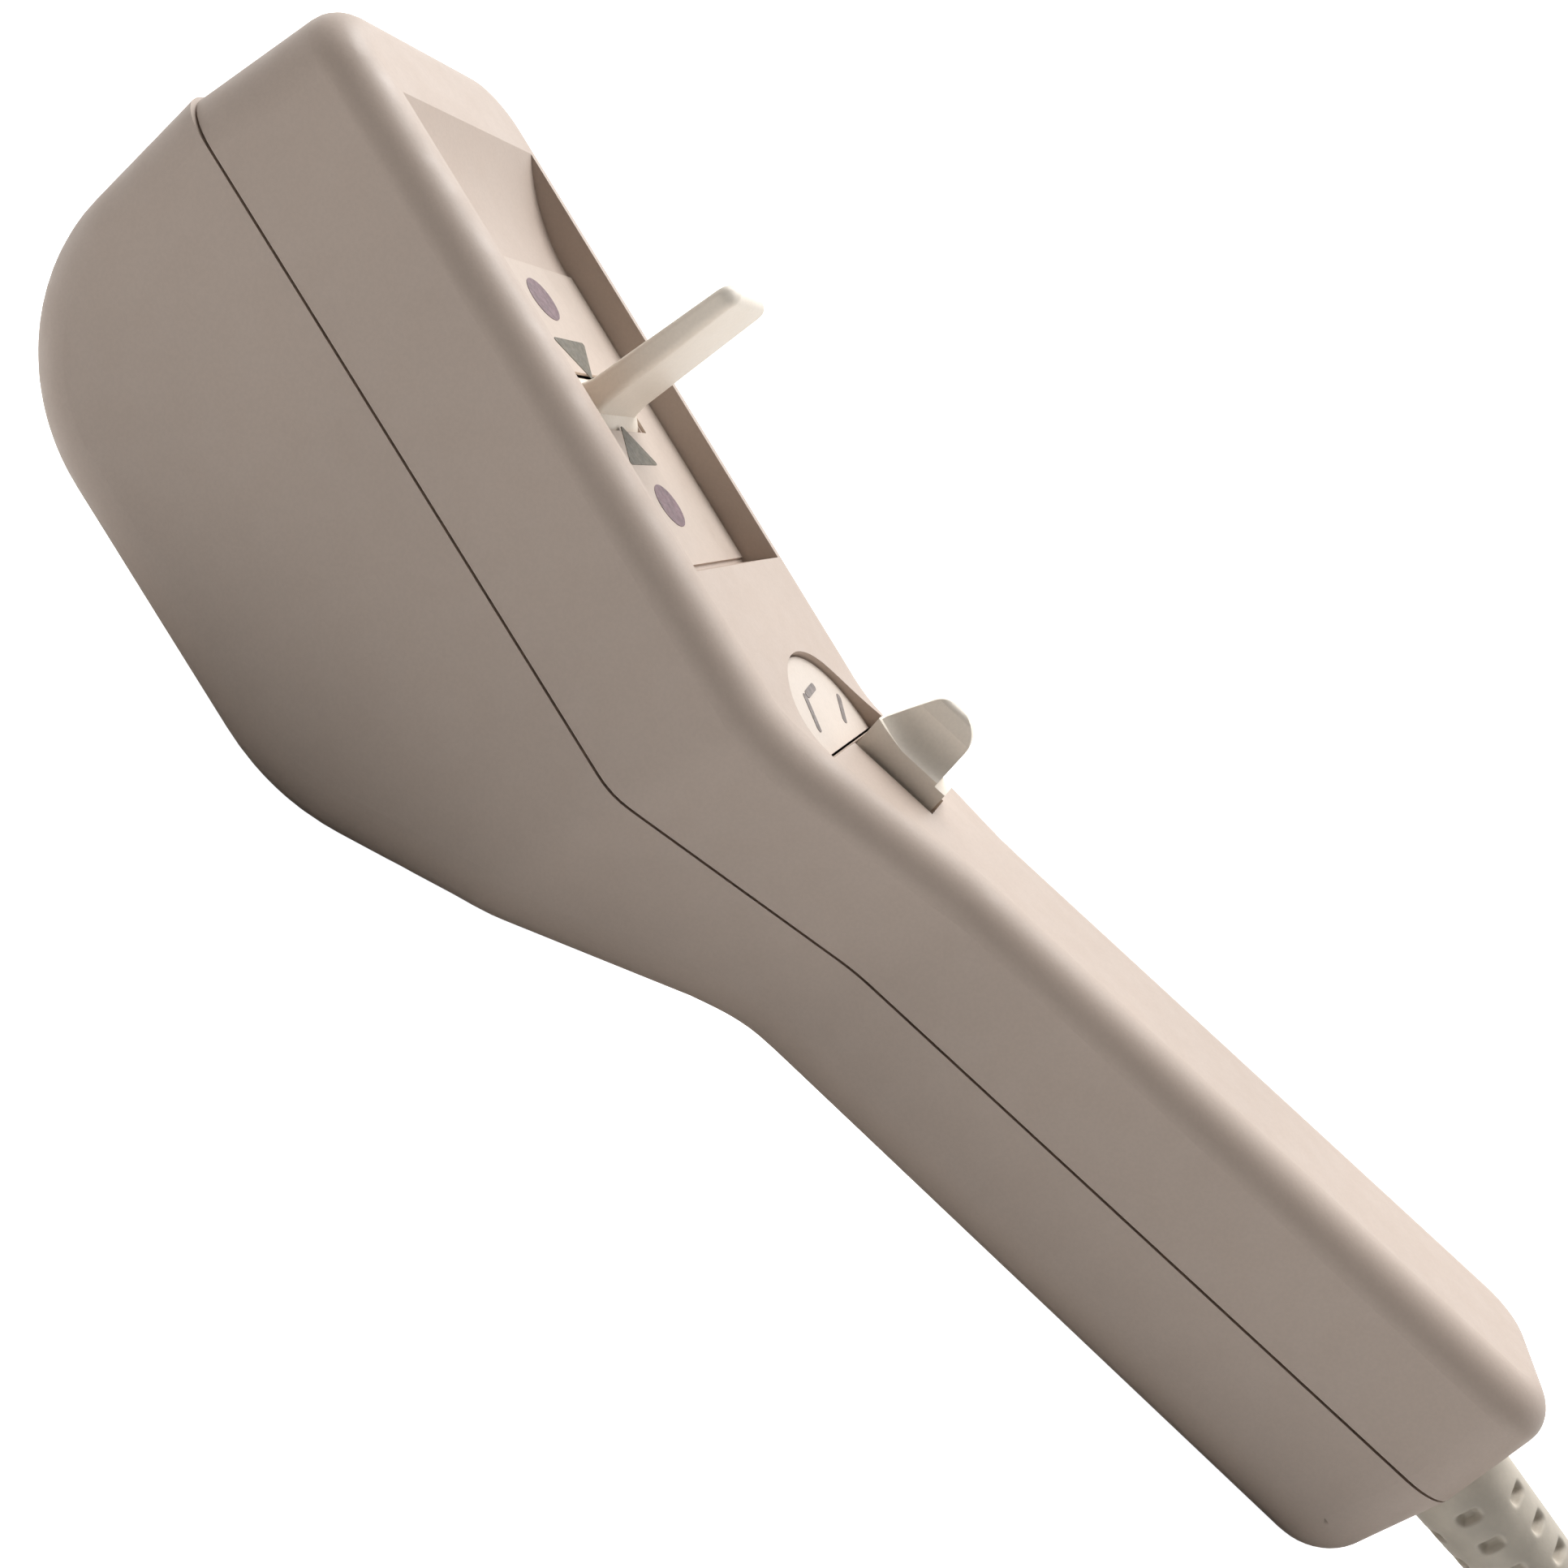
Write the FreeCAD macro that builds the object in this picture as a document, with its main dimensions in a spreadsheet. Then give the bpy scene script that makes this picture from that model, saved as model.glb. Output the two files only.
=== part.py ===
"""Corded hand control: a bellied head with a tilting paddle, a thumb rocker at the bend of its
handle, and a moulded cord that ends in a round plug.

The pieces are drawn in two tilted frames and seated on the floor at the end. The head frame has its
origin on the head's flat top face where the handle begins: +X runs toward the cord, +Z out of the top
face. The handle frame is the same frame turned about Y by the handle's bend. Lengths are millimetres.
"""
import FreeCAD, Part
import math
import os

from FreeCAD import Placement, Rotation, Vector

doc = FreeCAD.newDocument("hand_control")
sizes = doc.addObject("Spreadsheet::Sheet", "Sizes")

# name: value, in millimetres, degrees or counts
DIMENSIONS = {
    # housing
    "wall": 2.4, "head_half": 23.0, "handle_half": 13.75, "handle_bend": 16.4, "handle_start": -1.0,
    "front_top": -99.3, "front_seam": -101.8, "seam_level": -21.5, "belly_level": -65.0,
    "handle_end": 119.5, "handle_foot": 116.0, "handle_bottom": -36.2, "handle_seam": -17.4,
    "neck_front": -3.5, "neck_rear": 28.0, "seam_gap": 0.35, "lip_inset": 1.25, "lip_depth": 1.8,
    "top_round": 5.0, "low_round": 8.0, "front_round": 9.5, "end_round": 8.0,
    # label recess, dial recess and slots
    "recess_depth": 4.4, "recess_floor_half": 16.6, "recess_rim_half": 17.25, "label_thick": 0.4,
    "recess_front": -86.0, "recess_floor_front": -69.5, "recess_floor_rear": -24.0, "recess_rear": -22.0,
    "paddle_x": -48.3, "paddle_slot": 3.5, "dial_x": 6.0, "dial_r": 15.0, "dial_depth": 1.4,
    "dial_back": 4.6, "dial_thick": 0.5, "rocker_slot_front": 5.6, "rocker_slot_rear": 18.8,
    "rocker_slot_half": 4.1,
    # paddle and its drive
    "pivot_level": -9.2, "hub_r": 6.0, "hub_half": 7.0, "neck_r": 2.5, "shaft_r": 1.5,
    "running_gap": 0.05, "paddle_top": 18.7, "paddle_foot_thick": 3.9, "paddle_tip_thick": 2.6,
    "gear_module": 1.0, "sector_teeth": 36, "pinion_teeth": 14, "gear_thick": 3.0, "backlash": 0.16,
    "cheek_thick": 2.0, "cheek_near": -13.4, "cheek_far": 10.8, "cheek_half": 10.0, "bridge_level": -46.0,
    "sensor_r": 8.0, "sensor_depth": 6.4, "sensor_shaft_r": 3.0, "spring_wire": 0.5, "spring_r": 3.2,
    # thumb rocker and its switch
    "rocker_pivot": -8.0, "rocker_half": 3.1, "rocker_front": 6.0, "rocker_rear": 18.4, "rocker_hub": 4.2,
    "rocker_arm": 9.0, "ball_r": 1.2, "stem_r": 0.8, "rocker_pin_r": 1.25, "plate_thick": 1.6,
    "switch_top": -20.0, "switch_deep": 6.5, "switch_long": 10.0, "switch_half": 9.0,
    # fasteners and boards
    "boss_r": 3.6, "pilot_r": 1.3, "screw_r": 1.25, "well_r": 3.3, "well_wall": 1.3, "head_r": 2.8,
    "board_level": -50.0, "board_thick": 1.6, "board_front": -80.0, "board_long": 44.0, "board_half": 16.0,
    "small_screw_r": 0.95, "small_pilot_r": 1.0, "small_head_r": 1.9,
    # strain relief, cord and plug
    "relief_r": 7.0, "relief_tip_r": 4.8, "relief_long": 38.0, "relief_droop": 9.0, "relief_neck_r": 5.0,
    "relief_flange_r": 7.0, "cord_r": 3.5, "hank_r": 31.5, "hank_window_r": 17.5, "hank_long": 62.0,
    "plug_r": 6.6, "plug_pin_r": 0.5,
}
for row, (name, value) in enumerate(DIMENSIONS.items(), start=1):
    sizes.set(f"A{row}", name)
    sizes.set(f"B{row}", str(value))
    sizes.setAlias(f"B{row}", name)
doc.recompute()


def size(name):
    """The value in the cell called name."""
    return float(sizes.get(name))


X, Y, Z = Vector(1, 0, 0), Vector(0, 1, 0), Vector(0, 0, 1)
TURN = {"x": Rotation(Z, X), "y": Rotation(Z, Y), "z": Rotation(), "-x": Rotation(Z, -X), "-y": Rotation(Z, -Y)}
HEAD = Placement()
HANDLE = Placement(Vector(size("handle_start"), 0, 0), Rotation(Y, -size("handle_bend")))
nodes = []


def node(piece, label, frame=HEAD):
    """Name a finished piece; frame says which frame it was drawn in."""
    piece.Label = label
    nodes.append((piece, frame))
    return piece


def primitive(kind, at, axis, **formulas):
    """A Part primitive standing at a point along an axis, its sizes bound to formulas of the sheet."""
    piece = doc.addObject(f"Part::{kind}", kind)
    piece.Placement = Placement(Vector(*at), TURN[axis])
    for name, formula in formulas.items():
        piece.setExpression(name, str(formula).replace("@", "Sizes."))
    return piece


def cylinder(at, radius, length, axis="z"):
    return primitive("Cylinder", at, axis, Radius=radius, Height=length)


def cone(at, radius1, radius2, length, axis="z"):
    return primitive("Cone", at, axis, Radius1=radius1, Radius2=radius2, Height=length)


def box(low, lengths):
    return primitive("Box", low, "z", Length=lengths[0], Width=lengths[1], Height=lengths[2])


def ball(at, radius):
    return primitive("Sphere", at, "z", Radius=radius)


def ring(at, outer, inner, length, axis="z"):
    return cut(cylinder(at, outer, length, axis), cylinder(at, inner, length, axis))


def join(*pieces):
    """One piece, or a group, from several."""
    whole = doc.addObject("Part::MultiFuse", "Join")
    whole.Shapes = pieces
    return whole


def cut(base, *tools):
    """The base less its tools."""
    rest = doc.addObject("Part::Cut", "Cut")
    rest.Base = base
    rest.Tool = tools[0] if len(tools) == 1 else join(*tools)
    return rest


def feature(shape, name):
    """A piece whose shape comes from Part's own functions."""
    piece = doc.addObject("Part::Feature", name)
    piece.Shape = shape
    return piece


def rounded_wire(corners, to_point):
    """Closed wire through (a, b, radius) corners, each rounded by its radius; to_point places (a, b)."""
    edges, ends = [], []
    for index, (a, b, radius) in enumerate(corners):
        corner = Vector(a, b, 0)
        before = Vector(*corners[index - 1][:2], 0) - corner
        after = Vector(*corners[(index + 1) % len(corners)][:2], 0) - corner
        before.normalize()
        after.normalize()
        half = before.getAngle(after) / 2
        reach = radius / math.tan(half)
        middle = before + after
        if radius:
            middle.normalize()
            depth = radius / math.sin(half) - radius
            ends.append((corner + before * reach, corner + middle * depth, corner + after * reach))
        else:
            ends.append((corner, None, corner))
    for index, (start, middle, finish) in enumerate(ends):
        if middle is not None:
            points = [to_point(p.x, p.y) for p in (start, middle, finish)]
            edges.append(Part.Arc(*points).toShape())
        following = ends[(index + 1) % len(ends)][0]
        if finish.distanceToPoint(following) > 1e-6:
            edges.append(Part.LineSegment(to_point(finish.x, finish.y), to_point(following.x, following.y)).toShape())
    return Part.Wire(edges)


def side(a, b):
    return Vector(a, 0, b)


def plan(a, b):
    return Vector(a, b, 0)


def prism(wire, along, both_ways=True):
    """Solid of a closed flat wire pushed along a vector, to both sides of it or to one."""
    face = Part.Face(wire)
    if both_ways:
        face = face.translated(along * -1)
        along = along * 2
    return face.extrude(along)


def on_handle(a, b):
    """The head-frame (x, z) of a point in the handle frame."""
    point = HANDLE.multVec(Vector(a, 0, b))
    return point.x, point.z


# Housing block ------------------------------------------------------------------------------------
BIG = 60.0


def profile(inset):
    """Side outline of the housing, moved in by inset."""
    corners = [
        (size("front_top"), 0, 0),
        (size("handle_start"), 0, 30),
        (*on_handle(size("handle_end"), 0), 0),
        (*on_handle(size("handle_end"), size("handle_seam")), 0),
        (*on_handle(size("handle_foot"), size("handle_bottom")), 0),
        (24.5, -30.23, 40),
        (-28.2, size("belly_level"), 35),
        (-99.7, size("belly_level"), 26.5),
        (size("front_seam"), size("seam_level"), 0),
    ]
    wire = rounded_wire(corners, side)
    return wire.makeOffset2D(-inset, 2) if inset else wire


def breadth(inset):
    """Plan outline of the housing, open past its ends, moved in by inset."""
    front, rear = size("front_seam") - 10, 150
    head, handle = size("head_half") - inset, size("handle_half") - inset
    near = [
        (front, -head, 0),
        (size("neck_front"), -head, 11 - inset),
        (size("neck_rear"), -handle, 18 + inset),
        (rear, -handle, 0),
    ]
    far = [(a, -b, radius) for a, b, radius in reversed(near)]
    return rounded_wire(near + far, plan)


def above_seam(drop):
    """Everything over the seam between the two shells, the seam lowered by drop."""
    corners = [
        (size("front_seam") - 15, size("seam_level") - drop, 0),
        (-6.0, size("seam_level") + 0.2 - drop, 14),
        (28.0, -10.4 - drop, 70),
        (*on_handle(size("handle_end") + 10, size("handle_seam") + 0.2 - drop), 0),
        (150, 130, 0),
        (size("front_seam") - 15, 130, 0),
    ]
    return prism(rounded_wire(corners, side), Y * BIG)


def level_across(face):
    """True for a face that runs straight across the housing, with no tilt to either side."""
    low_u, high_u, low_v, high_v = face.ParameterRange
    return abs(face.normalAt((low_u + high_u) / 2, (low_v + high_v) / 2).y) < 1e-3


def side_edges(solid, keep):
    """Edges between a face that runs across and a side wall, for which keep(middle) holds."""
    found = []
    for edge in solid.Edges:
        faces = solid.ancestorsOfType(edge, Part.Face)
        if len(faces) == 2 and level_across(faces[0]) != level_across(faces[1]) and keep(edge.CenterOfMass):
            found.append(edge)
    return found


def along_handle(point):
    """The handle-frame x of a head-frame point."""
    return HANDLE.inverse().multVec(point).x


def is_front(point):
    return point.x < size("front_top") + 4


def is_end(point):
    return along_handle(point) > size("handle_foot") - 3


def upper_block(inset, drop=0.0):
    """The housing above the seam, every outside edge rounded, moved in by inset."""
    block = prism(profile(inset), Y * BIG).common(prism(breadth(inset), Z * 150)).common(above_seam(drop))
    block = block.removeSplitter()
    front = side_edges(block, lambda p: is_front(p) and size("seam_level") + 3 < p.z < -3 - inset)
    block = block.makeFillet(size("front_round") - inset, front)
    end = side_edges(block, is_end)
    end = [edge for edge in end if abs(edge.tangentAt(edge.FirstParameter).dot(HANDLE.Rotation.multVec(X))) < 0.3]
    block = block.makeFillet(size("end_round") - inset, end)
    top_edges = []
    for face in block.Faces:
        low_u, high_u, low_v, high_v = face.ParameterRange
        normal = face.normalAt((low_u + high_u) / 2, (low_v + high_v) / 2)
        if normal.z > 0.8:
            top_edges += face.Edges
    rim = [edge for edge in top_edges if sum(edge.isSame(other) for other in top_edges) == 1]
    return block.makeFillet(size("top_round") - inset, rim)


def lower_block(inset, drop=0.0):
    """The housing below the seam, every outside edge rounded, moved in by inset."""
    block = prism(profile(inset), Y * BIG).common(prism(breadth(inset), Z * 150)).cut(above_seam(drop))
    block = block.removeSplitter()
    seam_line = above_seam(drop)
    edges = side_edges(block, lambda p: not seam_line.isInside(p, 0.05, True))
    foot_x, foot_z = on_handle(size("handle_foot"), size("handle_bottom"))
    across = [edge for edge in block.Edges
              if edge.CenterOfMass.distanceToPoint(Vector(foot_x, 0, foot_z)) < 3 + inset * 2
              and abs(edge.tangentAt(edge.FirstParameter).y) > 0.99]
    return block.makeFillet(size("low_round") - inset, edges + across)


def recess(grow):
    """The label recess as a solid, its floor and walls moved out by grow."""
    floor = -size("recess_depth") - grow
    front, floor_front = size("recess_front") - grow, size("recess_floor_front") - grow / 2
    run, rise = floor_front - front, size("recess_depth") + grow
    radius = (run ** 2 + rise ** 2) / (2 * rise)
    midway = Vector(floor_front - run / 2, 0, floor + radius - math.sqrt(radius ** 2 - (run / 2) ** 2))
    floor_rear, rear = size("recess_floor_rear") + grow, size("recess_rear") + grow
    ramp = Part.Arc(Vector(front, 0, 0), midway, Vector(floor_front, 0, floor)).toShape()
    corners = [(floor_front, floor), (floor_rear, floor), (rear, 0), (rear, 8), (front, 8), (front, 0)]
    lines = [Part.LineSegment(side(*a), side(*b)).toShape() for a, b in zip(corners, corners[1:])]
    lengthwise = prism(Part.Wire([ramp] + lines), Y * BIG)
    rim, low = size("recess_rim_half") + grow, size("recess_floor_half") + grow
    section = Part.makePolygon([Vector(0, y, z) for y, z in
                                [(-rim, 8), (-rim, 0), (-low, floor), (low, floor), (rim, 0), (rim, 8), (-rim, 8)]])
    return lengthwise.common(prism(section, X * 150))


def post(at, radius, length, frame=HEAD):
    """A round post's plain shape, standing up from a point in a frame."""
    shape = Part.makeCylinder(radius, length, Vector(*at))
    shape.Placement = frame
    return shape


def slab(low, high, frame=HEAD):
    """A block's plain shape between two corners of a frame."""
    shape = Part.makeBox(*(b - a for a, b in zip(low, high)), Vector(*low))
    shape.Placement = frame
    return shape


def rod_y(x, z, radius, y_low, y_high):
    """A round bar's plain shape across the housing."""
    return Part.makeCylinder(radius, y_high - y_low, Vector(x, y_low, z), Y)


# (x, y, frame, level of the joint between boss and well)
CASE_SCREWS = [(-86.0, -14.5, HEAD, -22.0), (-86.0, 14.5, HEAD, -22.0), (-12.0, -15.8, HEAD, -22.0),
               (-12.0, 15.8, HEAD, -22.0), (88.0, 0.0, HANDLE, -18.4)]
FRAME_SCREWS = [(size("paddle_x") + dx, y) for dx in (-7.0, 7.0) for y in (-16.4, 15.8)]
RIDGE_SCREWS = [(x, y) for x in (-1.9, 24.2) for y in (-6.0, 6.0)]
BOARD_SCREWS = [(x, y) for x in (-76.5, -39.5) for y in (-12.0, 12.0)]
CLAMP_SCREWS = [(108.0, -7.6), (108.0, 7.6)]
SEAT_THICK, SCREW_LONG = 3.0, 12.0
FRAME_LEVEL, RIDGE_LEVEL = -8.5, -5.4
CORD_LEVEL = -18.0
TOP = 0.0


def upper_shell():
    """Top half of the housing with its recesses, slots, seam lip and bosses."""
    wall = size("wall")
    shell = upper_block(0).cut(upper_block(wall).cut(recess(1.6)))
    lip = lower_block(size("lip_inset") + 0.05).cut(lower_block(wall)).common(above_seam(size("lip_depth")))
    inside = upper_block(1.0)
    bosses = [post((x, y, level), size("boss_r"), -1 - level, frame) for x, y, frame, level in CASE_SCREWS]
    bosses = [boss.common(inside.fuse(lower_block(wall))) for boss in bosses]
    bosses += [post((x, y, FRAME_LEVEL), 2.4, 5.0) for x, y in FRAME_SCREWS]
    bosses += [post((x, y, RIDGE_LEVEL), 2.4, 4.4, HANDLE) for x, y in RIDGE_SCREWS]
    shell = shell.fuse([lip] + bosses)
    dial = post((size("dial_x"), 0, -size("dial_depth")), size("dial_r"), 14)
    dial = dial.common(slab((-30, -20, -5), (size("dial_back"), 20, 14)))
    slot = slab((size("rocker_slot_front"), -size("rocker_slot_half"), -4),
                (size("rocker_slot_rear"), size("rocker_slot_half"), 8), HANDLE)
    x, reach, half = size("paddle_x"), size("paddle_slot"), size("hub_half") + 0.5
    paddle_slot = slab((x - reach, -half, -7), (x + reach, half, 2))
    hub_room = rod_y(x, size("pivot_level"), size("hub_r") + 0.35, -half, half)
    gear_room = rod_y(x, size("pivot_level"), 3.75, -half - 3.6, half + 3.1)
    neck = Part.makeCylinder(size("relief_neck_r"), 20, Vector(112, 0, CORD_LEVEL), X)
    flange = Part.makeCylinder(size("relief_flange_r") + 0.1, 20, Vector(96.9, 0, CORD_LEVEL), X)
    neck.Placement = HANDLE
    flange.Placement = HANDLE
    pilots = [post((x, y, level - 1), size("pilot_r"), 11, frame) for x, y, frame, level in CASE_SCREWS]
    pilots += [post((x, y, FRAME_LEVEL - 1), size("small_pilot_r"), 4.1) for x, y in FRAME_SCREWS]
    pilots += [post((x, y, RIDGE_LEVEL - 1), size("small_pilot_r"), 4.2, HANDLE) for x, y in RIDGE_SCREWS]
    return shell.cut([recess(0), dial, slot, paddle_slot, hub_room, gear_room, neck, flange] + pilots)


def lower_shell():
    """Bottom half of the housing with its screw wells, board posts and cord saddle."""
    gap, wall = size("seam_gap"), size("wall")
    outside = lower_block(0, gap)
    shell = outside.cut(lower_block(wall, gap))
    within = lower_block(1.0, gap)
    wells, holes = [], []
    for x, y, frame, level in CASE_SCREWS:
        deep = 60.0
        wells.append(post((x, y, level - deep), size("well_r") + size("well_wall"), deep, frame).common(within))
        holes.append(post((x, y, level - SEAT_THICK - deep), size("well_r"), deep, frame))
        holes.append(post((x, y, level - SEAT_THICK - 1), 1.6, SEAT_THICK + 3, frame))
    posts = [post((x, y, -70), 2.8, size("board_level") + 70).common(within) for x, y in BOARD_SCREWS]
    holes += [post((x, y, size("board_level") - 7), size("small_pilot_r"), 8) for x, y in BOARD_SCREWS]
    saddle = slab((105.5, -10.2, -40), (110.5, 10.2, CORD_LEVEL + size("cord_r")), HANDLE).common(lower_block(1.0, gap))
    cord = Part.makeCylinder(size("cord_r"), 30, Vector(95, 0, CORD_LEVEL), X)
    cord.Placement = HANDLE
    saddle = saddle.cut([cord, slab((100, -size("cord_r"), CORD_LEVEL), (115, size("cord_r"), 0), HANDLE)])
    holes += [post((x, y, CORD_LEVEL - 6), size("small_pilot_r"), 12, HANDLE) for x, y in CLAMP_SCREWS]
    rebate = lower_block(size("lip_inset")).common(above_seam(size("lip_depth") + 0.25))
    neck = Part.makeCylinder(size("relief_neck_r"), 20, Vector(112, 0, CORD_LEVEL), X)
    neck.Placement = HANDLE
    flange = Part.makeCylinder(size("relief_flange_r") + 0.1, 4.9, Vector(112, 0, CORD_LEVEL), X)
    flange.Placement = HANDLE
    shell = shell.cut(rebate).fuse(wells + posts + [saddle])
    return shell.cut(holes + [neck, flange])


# Housing ------------------------------------------------------------------------------------------
node(feature(upper_shell(), "upper_shell"), "upper_shell")
node(feature(lower_shell(), "lower_shell"), "lower_shell")


label = cut(
    box((size("recess_floor_front") + 0.4, 0.3 - size("recess_floor_half"), -size("recess_depth")),
        ("@recess_floor_rear - @recess_floor_front - 1", "2 * @recess_floor_half - 0.6", "@label_thick")),
    box((size("paddle_x") - 4.2, -8.0, -5), (8.4, 16, 2)),
)
node(label, "label_plate")
dial = cut(cylinder((size("dial_x"), 0, -1.4), "@dial_r - 0.3", "@dial_thick"),
           box((size("dial_back") - 0.3, -20, -3), (30, 40, 5)))
node(dial, "dial_plate")

# Paddle and its drive -----------------------------------------------------------------------------
PX, PZ = size("paddle_x"), size("pivot_level")
MODULE = size("gear_module")
SENSOR_Z = PZ - MODULE * (size("sector_teeth") + size("pinion_teeth")) / 2


def blade():
    """The paddle's standing fin: thinner toward a round tip, with rounded upright edges."""
    foot, tip, top = size("paddle_foot_thick") / 2, size("paddle_tip_thick") / 2, size("paddle_top")
    outline = rounded_wire([(-foot, PZ, 0), (foot, PZ, 0), (tip, top, tip * 0.9), (-tip, top, tip * 0.9)], side)
    wide = size("hub_half") - 0.3
    fin = prism(outline, Y * wide)
    front = rounded_wire([(-wide, PZ, 0), (wide, PZ, 0), (wide, top, 2.2), (-wide, top, 2.2)],
                         lambda a, b: Vector(0, a, b))
    fin = fin.common(prism(front, X * 20)).removeSplitter()
    fin.translate(Vector(PX, 0, 0))
    return fin


def paddle():
    half = size("hub_half")
    hub = rod_y(PX, PZ, size("hub_r"), -half, half)
    necks = rod_y(PX, PZ, size("neck_r"), -half - 4.2, half + 3.3)
    tail = slab((PX - 2.9, -half, PZ - 12), (PX + 2.9, -3, PZ - 3))
    pin = rod_y(PX, PZ - 9, 2.9, -10.8, -3)
    bore = rod_y(PX, PZ, size("shaft_r") + size("running_gap"), -20, 20)
    return hub.fuse([blade(), necks, tail, pin]).cut(bore).removeSplitter()


def tooth_wedges(teeth, count, start, width_shift):
    """Flat tooth outlines of a gear with its axis along Y, the middle of tooth 0 at angle start."""
    pitch = MODULE * teeth / 2
    outer, root = pitch + 0.85 * MODULE, pitch - 1.15 * MODULE
    step = 2 * math.pi / teeth
    wedges = []
    for index in range(count):
        centre = start + (index - (count - 1) / 2) * step
        outline = []
        for radius, share in ((root, 0.36), (pitch, 0.25), (outer, 0.14)):
            outline.append((radius, step * share - width_shift / pitch))
        points = [(r, centre - half) for r, half in outline] + [(r, centre + half) for r, half in outline[::-1]]
        points = [Vector(r * math.cos(angle), 0, r * math.sin(angle)) for r, angle in points]
        wedges.append(Part.makePolygon(points + points[:1]))
    return wedges


def gear(teeth, count, start, x, z, y_low, bore, web):
    """A gear or a sector of one; web is the wire of its body under the teeth."""
    thick = Y * size("gear_thick")
    solids = [Part.Face(wire).extrude(thick) for wire in tooth_wedges(teeth, count, start, size("backlash") / 2)]
    whole = web.extrude(thick).fuse(solids).removeSplitter()
    whole.translate(Vector(x, y_low, z))
    return whole.cut(rod_y(x, z, bore, -30, 30))


def sector():
    """The sector's web: a ring round the paddle's neck and a fan reaching down to the teeth."""
    root = MODULE * size("sector_teeth") / 2 - 1.1 * MODULE
    spread = math.radians(43)
    fan = [Vector(root * math.sin(k * spread / 6), 0, -root * math.cos(k * spread / 6)) for k in range(-6, 7)]
    fan = Part.Face(Part.makePolygon([Vector(-2.6, 0, 0)] + fan + [Vector(2.6, 0, 0), Vector(-2.6, 0, 0)]))
    hub = Part.Face(Part.Wire(Part.Circle(Vector(), Y, 3.5).toShape()))
    return fan.fuse(hub)


def pinion_web():
    root = MODULE * size("pinion_teeth") / 2 - 1.1 * MODULE
    return Part.Face(Part.Wire(Part.Circle(Vector(), Y, root).toShape()))


node(feature(paddle(), "paddle"), "paddle")
down, up = -math.pi / 2, math.pi / 2
node(feature(gear(size("sector_teeth"), 9, down, PX, PZ, 7.1, size("neck_r"), sector()), "sector_gear"),
     "sector_gear")
half_tooth = math.pi / size("pinion_teeth")
node(feature(gear(size("pinion_teeth"), 14, up, PX, SENSOR_Z, 7.1, size("sensor_shaft_r"), pinion_web()),
             "sensor_gear"), "sensor_gear")
sensor_shaft = join(cylinder((PX, 6.6, SENSOR_Z), "@sensor_shaft_r", 6.1, "y"),
                    cylinder((PX, 12.7, SENSOR_Z), "@sensor_shaft_r - 1", 4.6, "y"))
node(sensor_shaft, "sensor_shaft")
node(cylinder((PX, -14.4, PZ), "@shaft_r", 28.2, "y"), "paddle_shaft")
node(join(*[ring((PX, y, PZ), 2.6, "@shaft_r", 0.6, "y") for y in (-14.2, 13.0)]), "shaft_clips")


def frame_shape():
    """U-shaped frame: two cheeks, a bridge below, a spring post and screw flanges."""
    thick, half = size("cheek_thick"), size("cheek_half")
    near, far, bridge = size("cheek_near"), size("cheek_far"), size("bridge_level")
    cheeks = [slab((PX - half, y, bridge), (PX + half, y + thick, -6.3)) for y in (near, far)]
    floor = slab((PX - half, near, bridge), (PX + half, far + thick, bridge + 2))
    flanges = [slab((PX - half, low, FRAME_LEVEL - 2), (PX + half, high, FRAME_LEVEL))
               for low, high in ((-19.0, near), (far + thick, 18.6))]
    spring_post = rod_y(PX, PZ - 15, 2.9, near, -7.4)
    frame = cheeks[0].fuse([cheeks[1], floor, spring_post] + flanges)
    bores = [rod_y(PX, PZ, size("shaft_r") + 0.02, -20, 20), rod_y(PX, SENSOR_Z, 4.05, 8, 20)]
    holes = [post((x, y, FRAME_LEVEL - 3), 1.15, 4) for x, y in FRAME_SCREWS]
    clip_room = rod_y(PX, PZ, 2.75, -14.4, -13.4).fuse(rod_y(PX, PZ, 2.75, 12.8, 13.8))
    header_room = slab((-42.0, -9.0, bridge - 1), (PX + half + 1, 9.0, bridge + 3))
    return frame.cut(bores + holes + [clip_room, header_room]).removeSplitter()


node(feature(frame_shape(), "control_frame"), "control_frame")
node(join(*[join(cylinder((x, y, FRAME_LEVEL - 2), "@small_screw_r", 4.8),
                 cylinder((x, y, FRAME_LEVEL - 3.5), "@small_head_r", 1.5)) for x, y in FRAME_SCREWS]),
     "frame_screws")


def hairpin(radius, wire, leg):
    """Flat wire loop: half a turn about Z, and a straight leg from each of its ends along -Y."""
    ends = [Vector(side_x, 0, 0) for side_x in (radius, -radius)]
    feet = [end - Y * leg for end in ends]
    edges = [Part.LineSegment(feet[0], ends[0]).toShape(), Part.Arc(ends[0], Y * radius, ends[1]).toShape(),
             Part.LineSegment(ends[1], feet[1]).toShape()]
    section = Part.Wire(Part.Circle(feet[0], Y, wire / 2).toShape())
    return Part.Wire(edges).makePipeShell([section], True, False)


centring = hairpin(size("spring_r"), size("spring_wire"), 17.0)
centring.Placement = Placement(Vector(PX, -9.1, PZ), Rotation(X, 90))
node(feature(centring, "paddle_spring"), "paddle_spring")
sensor_case = join(cylinder((PX, 12.9, SENSOR_Z), "@sensor_r", "@sensor_depth", "y"),
                   cylinder((PX, 10.8, SENSOR_Z), 4.0, 2.1, "y"),
                   box((PX - 6, 13.4, SENSOR_Z - 10.5), (12, 2.0, 6)))
sensor_bore = join(cylinder((PX, 10.0, SENSOR_Z), "@sensor_shaft_r + @running_gap", 3.2, "y"),
                   cylinder((PX, 12.7, SENSOR_Z), "@sensor_shaft_r - 1 + @running_gap", 5.2, "y"))
node(cut(sensor_case, sensor_bore), "sensor_body")
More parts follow.
